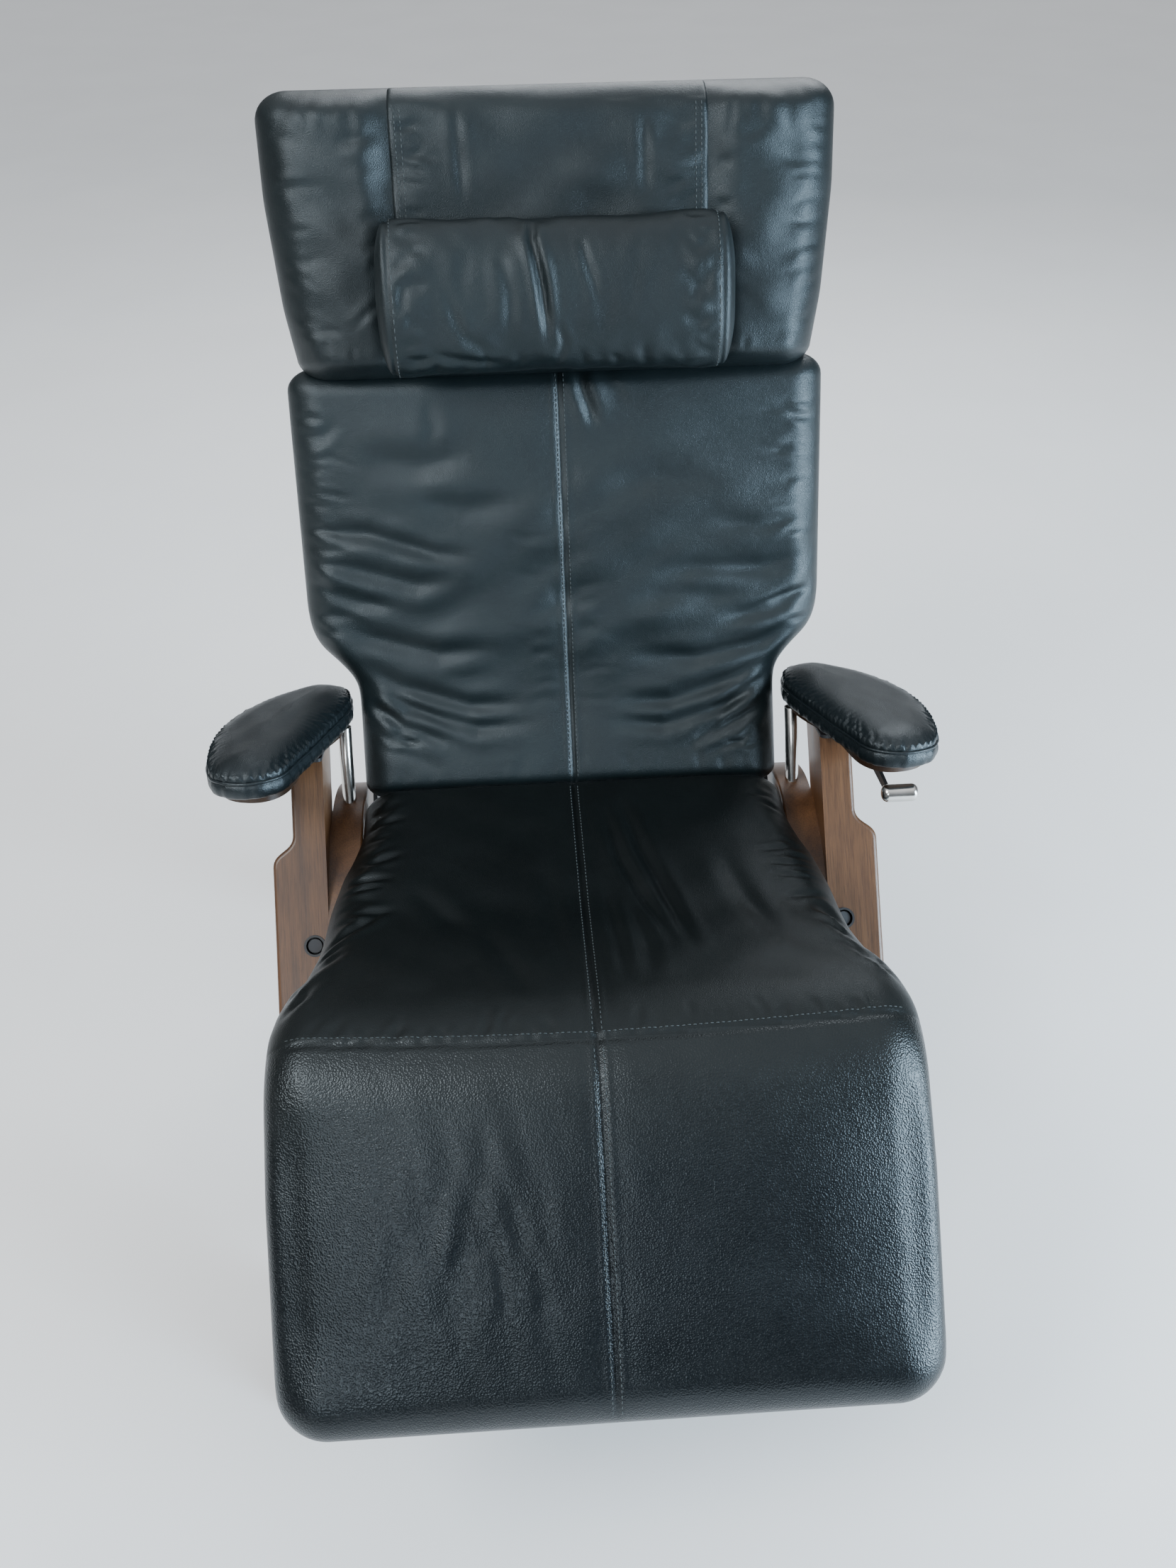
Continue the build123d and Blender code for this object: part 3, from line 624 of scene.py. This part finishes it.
def back_relief(x, s):
    z = np.zeros_like(x)
    z += crease(x, s, [(2, -40), (0, 600)], 3.4, 2.6, lip=0.35, taper=0)
    z += crease(x, s, [(2, -40), (0, 600)], 2.2, 18, lip=0.0, taper=0)
    broad = ease(0.05, 0.2, s)
    z += 0.0030 * ripple(x, s, 0.42, 0.10, 41) * broad * (1 - 0.6 * ease(0.28, 0.42, s))
    z += 0.0010 * ripple(x, s, 0.16, 0.05, 42) * broad * (1 - ease(0.25, 0.4, s))
    folds = [
        ([(-295, 300), (-220, 292), (-150, 268), (-90, 262)], 4.5, 8),
        ([(-298, 270), (-230, 250), (-170, 232), (-120, 236)], 4.5, 9),
        ([(-296, 236), (-240, 214), (-190, 206)], 3.4, 7),
        ([(-290, 200), (-230, 172), (-150, 150), (-60, 156)], 4.5, 10),
        ([(-262, 150), (-200, 112), (-120, 84), (-40, 82)], 5.0, 9),
        ([(-250, 128), (-190, 84), (-110, 58), (-30, 60)], 4.5, 8),
        ([(-250, 100), (-200, 62), (-130, 36)], 3.6, 7),
        ([(-180, 330), (-110, 318), (-50, 326)], 3.0, 12),
        ([(-240, 382), (-160, 366), (-90, 380)], 3.0, 14),
        ([(298, 300), (230, 286), (160, 292)], 3.2, 9),
        ([(300, 256), (230, 236), (150, 240), (80, 230)], 4.0, 10),
        ([(298, 214), (240, 186), (170, 176)], 4.0, 8),
        ([(292, 180), (230, 146), (150, 132), (60, 140)], 4.5, 9),
        ([(262, 142), (200, 104), (120, 80), (40, 82)], 5.0, 9),
        ([(250, 116), (190, 72), (110, 52), (30, 60)], 4.5, 8),
        ([(250, 90), (205, 54), (140, 30)], 3.4, 7),
        ([(60, 200), (140, 210), (220, 200)], 2.6, 13),
        ([(30, 330), (110, 344), (200, 330)], 2.6, 14),
        ([(20, 482), (28, 440), (44, 396)], 4.0, 6),
        ([(44, 480), (60, 446), (80, 420)], 1.6, 7),
        ([(-150, 440), (-140, 410), (-150, 380)], 1.4, 8),
    ]
    for points, depth, width in folds:
        z += crease(x, s, points, depth, width)
    z += fan(x, s, 51, 16, (-300, 430), (-300, 180), (4, -18), (30, 100), (0.7, 2.2), (3, 6))
    z += fan(x, s, 52, 16, (300, 430), (300, 180), (176, 198), (30, 100), (0.7, 2.2), (3, 6))
    z += fan(x, s, 53, 9, (-250, 130), (-250, 30), (-40, -10), (50, 140), (0.9, 2.4), (3, 7))
    z += fan(x, s, 54, 9, (250, 130), (250, 30), (220, 190), (50, 140), (0.9, 2.4), (3, 7))
    z += fan(x, s, 55, 12, (-240, -16), (240, -16), (60, 120), (20, 60), (0.3, 1.0), (4, 7))
    z += fan(x, s, 56, 10, (-10, 300), (-6, 80), (172, 190), (22, 60), (0.3, 0.8), (3, 6))
    z += fan(x, s, 57, 8, (10, 300), (6, 80), (8, -8), (22, 60), (0.3, 0.8), (3, 6))
    return z


BACK_HALVES = [
    (-60, 250), (0, 250.5), (100, 251), (116, 254), (134, 269), (156, 292), (176, 301), (200, 304),
    (420, 303), (600, 301),
]  # fmt: skip
back_pad = Pad(
    back_track,
    BACK_HALVES,
    front=0.034,
    back=0.023,
    corner=0.034,
    roll=0.04,
    crown=0.012,
    relief=back_relief,
    span=(-0.026, back_track.length - 0.002),
    lower=0.02,
    tight=(1.6, 1.4),
)
back = facing_out(back_pad.mesh("back_cushion"))
back.data.materials.append(back_leather)
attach(back, "back")
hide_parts("back_pad")
back_lines = [[(k + 2, -8), (k + 2, 462)] for k in TWIN]
back_thread = stitches("back_stitching", back_pad.top, back_lines)
back_thread.data.materials.append(thread)
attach(back_thread, "back")


# ---- Head pad -----------------------------------------------------------------------------------------------
head_track = Track([(299.7, 923.9), (394.5, 1178.4)])


def head_relief(x, s):
    z = np.zeros_like(x)
    wing = ease(0.16, 0.2, np.abs(x))
    z += 0.010 * wing * (1 - ease(0.22, 0.31, np.abs(x)))
    z += 0.0010 * ripple(x, s, 0.09, 0.20, 61) * wing
    z += 0.0018 * ripple(x, s, 0.12, 0.07, 62)
    z += fan(x, s, 63, 12, (-300, 240), (-290, 30), (6, -24), (24, 70), (0.5, 1.5), (3, 6))
    z += fan(x, s, 64, 12, (300, 240), (290, 30), (174, 204), (24, 70), (0.5, 1.5), (3, 6))
    z += fan(x, s, 65, 9, (-280, 266), (-175, 268), (-100, -70), (18, 60), (0.5, 1.3), (3, 6))
    z += fan(x, s, 66, 9, (175, 268), (280, 266), (-110, -80), (18, 60), (0.5, 1.3), (3, 6))
    z += fan(x, s, 67, 14, (-270, 2), (270, 2), (80, 100), (16, 40), (0.6, 1.4), (3, 6))
    z += fan(x, s, 68, 6, (-172, 240), (-172, 60), (176, 215), (20, 70), (0.6, 1.5), (3, 6))
    z += fan(x, s, 69, 6, (172, 240), (172, 60), (4, -35), (20, 70), (0.6, 1.5), (3, 6))
    return z


head_pad = Pad(
    head_track,
    [(-40, 281), (0, 285), (60, 296), (170, 306), (300, 307)],
    front=0.045,
    back=0.036,
    corner=0.036,
    roll=0.042,
    crown=0.003,
    relief=head_relief,
    span=(-0.017, head_track.length + 0.004),
    lower=0.03,
    tight=(1.6, 1.2),
)
head = facing_out(head_pad.mesh("head_cushion"))
head.data.materials.append(head_leather)
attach(head, "back")
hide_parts("head_pad")


# ---- Flap over the head pad -------------------------------------------------------------------------------
FLAP = 0.165  # half the width


def flap_relief(x, s):
    z = 0.0012 * ripple(x, s, 0.09, 0.12, 71)
    z += crease(x, s, [(-96, 268), (-94, 210), (-92, 150)], 1.3, 5)
    z += crease(x, s, [(97, 250), (99, 200), (100, 156)], 1.3, 5)
    z += fan(x, s, 72, 8, (-160, 250), (-160, 150), (0, -20), (20, 50), (0.5, 1.1), (3, 5))
    z += fan(x, s, 73, 8, (160, 250), (160, 150), (180, 200), (20, 50), (0.5, 1.1), (3, 5))
    return z


def flap_sheet():
    """A band that lies on the head pad, goes over its top and down behind."""
    top, turn = head_track.length, 24
    front = np.linspace(0.118, top - 0.042, 62)
    arc = top - 0.042 + 0.042 * np.sin(np.linspace(0, math.pi / 2, turn))[1:]
    behind = top - 0.030 + 0.030 * np.cos(np.linspace(0, math.pi / 2, 12))[1:]
    low = np.linspace(top - 0.034, top - 0.070, 10)
    u = np.linspace(-FLAP, FLAP, 112)
    rows = [(s, head_pad.top) for s in (*front, *arc)] + [(s, head_pad.under) for s in (*behind, *low)]
    grid = np.array([surface(u, np.full_like(u, s)) for s, surface in rows])
    du = np.gradient(grid, axis=1)
    dv = np.gradient(grid, axis=0)
    n = np.cross(du, dv)
    n /= np.linalg.norm(n, axis=2)[:, :, None] + 1e-12
    for _ in range(3):
        n[1:-1] = (n[:-2] + n[1:-1] + n[2:]) / 3
    S = np.array([s for s, _ in rows])[:, None] + 0 * u[None, :]
    U = u[None, :] + 0 * S
    fade = (np.arange(len(rows)) < len(front) + 8)[:, None]
    edge = np.clip((FLAP - np.abs(U)) / 0.004, 0, 1)
    lift = 0.0016 * np.sqrt(1 - (1 - edge) ** 2) + 0.0004 + flap_relief(U, S) * fade * ease(0, 1, edge)
    over = grid + n * lift[:, :, None]
    inner = grid - n * 0.0006
    rows_n, cols = over.shape[:2]
    verts = np.concatenate([over.reshape(-1, 3), inner.reshape(-1, 3)])
    i = np.arange(rows_n * cols).reshape(rows_n, cols)
    j = i + rows_n * cols
    faces = []
    for a in (i, j[:, ::-1]):
        faces += np.stack([a[:-1, :-1], a[:-1, 1:], a[1:, 1:], a[1:, :-1]], -1).reshape(-1, 4).tolist()
    ring_i = [*i[0, :], *i[1:, -1], *i[-1, -2::-1], *i[-2:0:-1, 0]]
    ring_j = [*j[0, :], *j[1:, -1], *j[-1, -2::-1], *j[-2:0:-1, 0]]
    for a in range(len(ring_i)):
        b = (a + 1) % len(ring_i)
        faces.append([ring_i[b], ring_i[a], ring_j[a], ring_j[b]])
    return facing_out(new_mesh("head_flap", verts, faces))


flap = flap_sheet()
flap.data.materials.append(head_leather)
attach(flap, "back")
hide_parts("pillow_flap")


def flap_surface(x, s):
    return head_pad.top(x, s, 0.0019 + flap_relief(x, s))


flap_lines = [[(side * k, 140), (side * k, 252)] for side in (-1, 1) for k in (158.5, 152.5)]
flap_thread = stitches("flap_stitching", flap_surface, flap_lines)
flap_thread.data.materials.append(thread)
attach(flap_thread, "back")


# ---- Pillow -------------------------------------------------------------------------------------------------
PILLOW_S, PILLOW_HIGH, PILLOW_THICK, PILLOW_HALF = 0.067, 0.152, 0.074, 0.188
PILLOW_SEAM = 0.172  # where the end caps are sewn on


def pillow_point(x, w):
    """w is the angle round the section: 0 points ahead, a quarter turn is up."""
    end = ease(0.166, 0.178, np.abs(x))
    k = np.clip((np.abs(x) - PILLOW_SEAM) / (PILLOW_HALF - PILLOW_SEAM), 0, 1)
    cap = np.sqrt(np.clip(1 - k**2, 0, 1))
    size = np.where(np.abs(x) > PILLOW_SEAM, 0.10 + 0.90 * cap, 1.0)
    size = size * (1 - 0.035 * np.exp(-(((np.abs(x) - PILLOW_SEAM) / 0.003) ** 2)))
    waist = 1 - 0.02 * np.cos(x / PILLOW_SEAM * math.pi)
    c, si = np.cos(w), np.sin(w)
    power = 2 / 2.35
    a = np.sign(c) * np.abs(c) ** power * PILLOW_THICK / 2
    b = np.sign(si) * np.abs(si) ** power * PILLOW_HIGH / 2
    arc = PILLOW_HIGH / 2 * (w / (math.pi / 2))
    z = 0.0013 * ripple(x, arc, 0.10, 0.07, 81) + 0.0005 * ripple(x, arc, 0.03, 0.05, 82)
    z += crease(x, arc, [(-22, 70), (-24, 36), (-14, 0), (-8, -34)], 5.5, 4.2)
    z += crease(x, arc, [(24, 40), (32, 16), (46, -8)], 1.5, 3.5)
    z += crease(x, arc, [(-4, -8), (6, -30), (-2, -58)], 1.8, 3.5)
    z += crease(x, arc, [(-120, 10), (-96, -24), (-60, -40)], 1.6, 4)
    z += crease(x, arc, [(-60, 30), (-48, 0), (-52, -30)], 1.4, 6)
    z += crease(x, arc, [(-150, -30), (-100, -44), (-50, -52)], 1.8, 5)
    z += fan(x, arc, 83, 12, (-166, 60), (-166, -60), (10, -10), (16, 46), (0.9, 2.2), (3, 5))
    z += fan(x, arc, 84, 12, (166, 60), (166, -60), (170, 190), (16, 46), (0.9, 2.2), (3, 5))
    z += fan(x, arc, 85, 10, (-140, -66), (140, -66), (75, 105), (14, 40), (0.6, 1.6), (3, 5))
    z = z * ease(0, 0.5, c + 0.6) * (1 - end)
    ahead = PILLOW_THICK / 2 - 0.004 + (a + z * c) * size * waist
    up = PILLOW_S + (b + z * si) * size * waist
    return head_track.place(x, up, ahead + 0.0055 + 0.004 * (1 - c) * (c < 0))


def pillow_mesh():
    body = np.linspace(-0.166, 0.166, 116)
    tip = [0.1685, 0.1705, 0.172, 0.1735, 0.1755, 0.178, 0.1805, 0.183, 0.1848, 0.1857]
    xs = np.array([*[-t for t in reversed(tip)], *body, *tip])
    ws = np.linspace(-math.pi, math.pi, 133)[:-1]
    grid = np.array([pillow_point(np.full_like(ws, x), ws) for x in xs])
    n, m = grid.shape[:2]
    verts = list(grid.reshape(-1, 3))
    faces = []
    for r in range(n - 1):
        for c in range(m):
            d = (c + 1) % m
            faces.append((r * m + c, r * m + d, (r + 1) * m + d, (r + 1) * m + c))
    for r, x in ((0, -PILLOW_HALF), (n - 1, PILLOW_HALF)):
        verts.append(grid[r].mean(axis=0) + np.array((x - xs[r], 0, 0)))
        for c in range(m):
            faces.append((r * m + c, r * m + (c + 1) % m, len(verts) - 1))
    return facing_out(new_mesh("bolster", verts, faces))


pillow = pillow_mesh()
pillow.data.materials.append(head_leather)
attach(pillow, "pillow")
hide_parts("pillow")


def pillow_surface(x, s):
    return pillow_point(x, s / (PILLOW_HIGH / 2) * math.pi / 2)


end_lines = [[(side * 168, k) for k in range(-100, 101, 10)] for side in (-1, 1)]
pillow_thread = stitches("bolster_stitching", pillow_surface, end_lines)
pillow_thread.data.materials.append(thread)
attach(pillow_thread, "pillow")


# ---- Counterweight pouch behind the head pad ------------------------------------------------------------
BACK_LONG = 644.5  # the back's straight part, in millimetres


def behind(along, depth):
    """A point on the back's straight part, in the side view, in millimetres."""
    d = (225 / BACK_LONG, 604 / BACK_LONG)
    return 192 + d[0] * along + d[1] * depth, 566 + d[1] * along - d[0] * depth


def pouch_relief(x, s):
    rim = np.minimum(np.minimum(s, 0.11 - s), 0.155 - np.abs(x))
    z = -0.0016 * np.exp(-(((rim - 0.009) / 0.0018) ** 2)) + 0.001 * ripple(x, s, 0.05, 0.03, 91)
    return z + fan(x, s, 92, 20, (-150, 8), (150, 8), (80, 100), (12, 34), (0.4, 1.0), (3, 5))


pouch_track = Track([behind(BACK_LONG - 61, 79), behind(BACK_LONG - 171, 79)])
pouch_pad = Pad(
    pouch_track,
    [(-50, 155), (200, 155)],
    front=0.009,
    back=0.009,
    corner=0.012,
    roll=0.010,
    crown=0.003,
    relief=pouch_relief,
    lower=0.01,
)
pouch = facing_out(pouch_pad.mesh("counterweight_pouch"))
pouch.data.materials.append(head_leather)
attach(pouch, "counterweight")
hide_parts("counterweight")
pouch_lines = [[(-140, s), (140, s)] for s in (6.5, 103.5)] + [[(x, 14), (x, 96)] for x in (-148.5, 148.5)]
pouch_thread = stitches("pouch_stitching", pouch_pad.top, pouch_lines)
pouch_thread.data.materials.append(thread)
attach(pouch_thread, "counterweight")


# ---- Armrest pads ---------------------------------------------------------------------------------------
ARM_TILT = math.radians(16)
ARM_OUTLINE = [
    (352, 0), (386, 16), (402, 90), (396, 158), (372, 212), (338, 250),
    (302, 271), (271, 260), (261, 222), (282, 126), (301, 60), (318, 14),
]  # fmt: skip
ARM_MIDDLE = np.array((0.330, 0.130))
ARM_FRONT = (-0.016, 0.626)  # where the top face starts in the side view
WELT_DEPTH = -0.0172


def arm_outline(count=220):
    """An even, closed curve through the outline's points."""
    p = np.array(ARM_OUTLINE) / 1000
    n = len(p)
    chord = np.sqrt(np.linalg.norm(np.roll(p, -1, 0) - p, axis=1))
    out = []
    for k in range(n):
        a, b, c, d = p[k - 1], p[k], p[(k + 1) % n], p[(k + 2) % n]
        t0, t1, t2 = chord[k - 1], chord[k], chord[(k + 1) % n]
        m1 = ((b - a) / t0 - (c - a) / (t0 + t1) + (c - b) / t1) * t1
        m2 = ((c - b) / t1 - (d - b) / (t1 + t2) + (d - c) / t2) * t1
        for q in range(40):
            t = q / 40
            h = (2 * t**3 - 3 * t**2 + 1, t**3 - 2 * t**2 + t, -2 * t**3 + 3 * t**2, t**3 - t**2)
            out.append(h[0] * b + h[1] * m1 + h[2] * c + h[3] * m2)
    out = np.array(out + [out[0]])
    gaps = np.concatenate([[0], np.cumsum(np.linalg.norm(np.diff(out, axis=0), axis=1))])
    s = np.arange(count) * gaps[-1] / count
    return np.stack([np.interp(s, gaps, out[:, k]) for k in (0, 1)], 1)


def arm_place(side, xs, n):
    """Points (across, along) of the armrest's top face, raised by n, on the side of the given sign."""
    x, s = xs[..., 0], xs[..., 1]
    y = ARM_FRONT[0] + HIP + s * math.cos(ARM_TILT) + n * math.sin(ARM_TILT)
    z = ARM_FRONT[1] - s * math.sin(ARM_TILT) + n * math.cos(ARM_TILT)
    return np.stack([side * x, y, z], -1)


def closed_rings(name, rings, caps=True):
    """A skin through rings of points, capped at both ends or joined end to start."""
    verts = np.concatenate(rings)
    m = len(rings[0])
    faces = []
    for r in range(len(rings) - 1):
        for c in range(m):
            d = (c + 1) % m
            faces.append((r * m + c, r * m + d, (r + 1) * m + d, (r + 1) * m + c))
    verts = list(verts)
    if caps:
        for r in (0, len(rings) - 1):
            verts.append(rings[r].mean(axis=0))
            for c in range(m):
                faces.append((r * m + c, r * m + (c + 1) % m, len(verts) - 1))
    else:
        last = (len(rings) - 1) * m
        for c in range(m):
            d = (c + 1) % m
            faces.append((last + c, last + d, d, c))
    return facing_out(new_mesh(name, verts, faces))


def armrest(side, name):
    edge = arm_outline()
    along = np.roll(edge, -1, 0) - np.roll(edge, 1, 0)
    normal = np.stack([along[:, 1], -along[:, 0]], 1)
    normal /= np.linalg.norm(normal, axis=1)[:, None]
    if ((edge + normal * 0.01 - ARM_MIDDLE) ** 2).sum() < ((edge - ARM_MIDDLE) ** 2).sum():
        normal = -normal
    run = np.linspace(0, 2 * math.pi, len(edge), endpoint=False)
    wobble = 0.0003 * (np.sin(run * 23 + side) + np.sin(run * 37 + 1.3) + np.sin(run * 61 + 2.1))
    seam = 0.0007 * np.maximum(np.sin(run * 47 + np.sin(run * 5) * 2), 0)
    profile = [
        (-0.016, -0.0358), (-0.006, -0.0362), (-0.002, -0.0356), (0.0, -0.034), (0.0012, -0.031),
        (0.0018, -0.0275), (0.0017, -0.024), (0.0008, -0.0205), (-0.0006, -0.0186), (-0.0004, -0.0172),
        (0.0006, -0.0158),
    ]  # fmt: skip
    rings = [arm_place(side, edge + normal * (out + wobble)[:, None], n) for out, n in profile]
    for f in np.concatenate([0.24 * np.linspace(0.02, 1, 22) ** 1.7, np.linspace(0.27, 0.97, 26)]):
        pts = edge + (ARM_MIDDLE - edge) * f
        d = np.sqrt(((pts[:, None, :] - edge[None, ::3, :]) ** 2).sum(-1)).min(1)
        t = np.clip(d / 0.030, 0, 1)
        n = -0.0158 + 0.0168 * np.sqrt(1 - (1 - t) ** 2) ** 0.9 + 0.0040 * ease(0.0, 0.06, d)
        pull = (seam + wobble) * np.exp(-(((d - 0.004) / 0.006) ** 2))
        n = n + 0.0006 * ripple(pts[:, 0], pts[:, 1], 0.05, 0.08, 95) * t - pull
        rings.append(arm_place(side, pts, n))
    pad = closed_rings(name, rings)
    pad.data.materials.append(arm_leather)
    welt = edge + normal * 0.0004
    place = arm_place(side, welt, WELT_DEPTH)
    tangent = np.roll(place, -1, 0) - np.roll(place, 1, 0)
    tangent /= np.linalg.norm(tangent, axis=1)[:, None]
    out = arm_place(side, welt + normal * 0.001, WELT_DEPTH) - place
    out /= np.linalg.norm(out, axis=1)[:, None]
    up = np.cross(tangent, out)
    pipe = []
    for k in range(12):
        w = 2 * math.pi * k / 12
        pipe.append(place + (out * math.cos(w) + up * math.sin(w)) * (0.0019 + wobble[:, None] * 0.3))
    rope = closed_rings(name + "_welt", pipe, caps=False)
    rope.data.materials.append(arm_leather)
    for piece in (pad, rope):
        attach(piece, "base")
    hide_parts("left_arm_pad" if side > 0 else "right_arm_pad")


armrest(1, "left_armrest")
armrest(-1, "right_armrest")


# ---- Frame materials --------------------------------------------------------------------------------------
front_wood = wood("walnut_front_leg", (math.radians(-48), 0, math.radians(-90)))
rear_wood = wood("walnut_rear_leg", (math.radians(51), 0, math.radians(-90)), 0.95)
bar_wood = wood("walnut_bar", (0, 0, 0), 0.95)
# The tint of 0.35 darkens the board to a third: painted shade under the armrest pad.
ply = wood("plywood_board", (0, 0, math.radians(-90)), 0.35)
nickel = metal("satin_nickel", (0.72, 0.70, 0.67), 0.2, 0.06)
zinc = metal("zinc_steel", (0.6, 0.6, 0.6), 0.32, 0.2)
black_steel = metal("powder_coat", (0.018, 0.018, 0.02), 0.45, 0.35, 0.0, (700, 700, 700))
black_plastic = plastic("moulded_black", (0.014, 0.014, 0.015), 0.5)
brown_plastic = plastic("moulded_brown", (0.13, 0.062, 0.03), 0.5)
rubber = plastic("dull_rubber", (0.03, 0.031, 0.034), 0.7, 900.0)
straps = webbing("woven_strap")
FINISH = [
    (("front_leg",), front_wood),
    (("rear_leg",), rear_wood),
    (("stretcher_bolts", "lap_bolts", "pin", "bushes", "spacers"), zinc),
    (("stretcher",), bar_wood),
    (("arm_board",), ply),
    (("arm_tube", "knob"), nickel),
    (("caps",), brown_plastic),
    (("cups", "glides", "end_plugs"), black_plastic),
    (("leg_plugs",), rubber),
    (("straps",), straps),
    (("rail", "plate", "cross_tube", "lever_arm", "lever_bracket"), black_steel),
]
for name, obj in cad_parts.items():
    if obj.hide_render:
        continue
    finish = next((mat for words, mat in FINISH if any(word in name for word in words)), black_steel)
    for held in obj.material_slots:
        held.material = finish
    if not obj.material_slots:
        obj.data.materials.append(finish)


# ---- Floor, light and camera --------------------------------------------------------------------------------
floor = new_mesh("floor", [(-6, -4, 0), (6, -4, 0), (6, 8, 0), (-6, 8, 0)], [(0, 1, 2, 3)], smooth=False)
floor_mat, floor_tree, floor_shader = material("pale_floor", (0.86, 0.86, 0.85), 0.6)
speck = node(floor_tree, "ShaderNodeTexNoise", Scale=3.0, Detail=3.0)
floor_tree.links.new(coords(floor_tree), speck.inputs["Vector"])
floor_tree.links.new(
    ramp(floor_tree, speck.outputs["Fac"], [(0.3, (0.85, 0.85, 0.845)), (0.7, (0.88, 0.88, 0.875))]),
    floor_shader.inputs["Base Color"],
)
floor.data.materials.append(floor_mat)

world = bpy.data.worlds.new("studio")
bpy.context.scene.world = world
world.use_nodes = True
sky = world.node_tree
backdrop = sky.nodes["Background"]
backdrop.inputs["Color"].default_value = (0.93, 0.96, 1.0, 1)
upward = node(sky, "ShaderNodeSeparateXYZ")
sky.links.new(node(sky, "ShaderNodeTexCoord").outputs["Generated"], upward.inputs["Vector"])
overhead = node(sky, "ShaderNodeMath")  # a soft ceiling, and a darker room round it
overhead.operation = "POWER"
overhead.use_clamp = True
overhead.inputs[1].default_value = 2.6
sky.links.new(upward.outputs["Z"], overhead.inputs[0])
sky.links.new(scale_to(sky, overhead.outputs["Value"], 0.14, 1.5), backdrop.inputs["Strength"])


def softbox(name, place, target, size, power, colour):
    lamp = bpy.data.lights.new(name, "AREA")
    lamp.shape = "RECTANGLE"
    lamp.size, lamp.size_y = size
    lamp.energy, lamp.color = power, colour
    obj = bpy.data.objects.new(name, lamp)
    bpy.context.collection.objects.link(obj)
    obj.location = place
    obj.rotation_euler = (Vector(target) - Vector(place)).to_track_quat("-Z", "Y").to_euler()


softbox("key", (-1.9, -1.2, 2.9), (0, 0.1, 0.6), (1.3, 1.3), 80, (0.95, 0.98, 1.0))
softbox("window", (3.0, -1.5, 1.2), (0.2, -0.3, 0.5), (1.2, 1.8), 270, (0.66, 0.84, 1.0))
softbox("front", (-1.2, -3.6, 2.3), (0, 0, 0.5), (1.1, 1.0), 44, (0.84, 0.93, 1.0))
softbox("back", (0.6, 2.6, 2.4), (0, 0.2, 0.9), (2.2, 1.2), 50, (0.92, 0.96, 1.0))


def look(location, pitch, yaw, roll, lens):
    """A camera that looks ahead along +Y, turned down by pitch and to the right by yaw, then rolled."""
    data = bpy.data.cameras.new("view")
    data.sensor_fit = "VERTICAL"
    data.sensor_height = 36
    data.lens = lens
    camera = bpy.data.objects.new("view", data)
    turn = Matrix.Rotation(-yaw, 3, "Z") @ Matrix.Rotation(math.pi / 2 - pitch, 3, "X")
    camera.matrix_world = Matrix.Translation(location) @ (turn @ Matrix.Rotation(roll, 3, "Z")).to_4x4()
    bpy.context.collection.objects.link(camera)
    bpy.context.scene.camera = camera


look((-0.0533, -1.116, 1.540), math.radians(40), math.radians(3.2), math.radians(-0.7), 1955.7 * 36 / 2212)
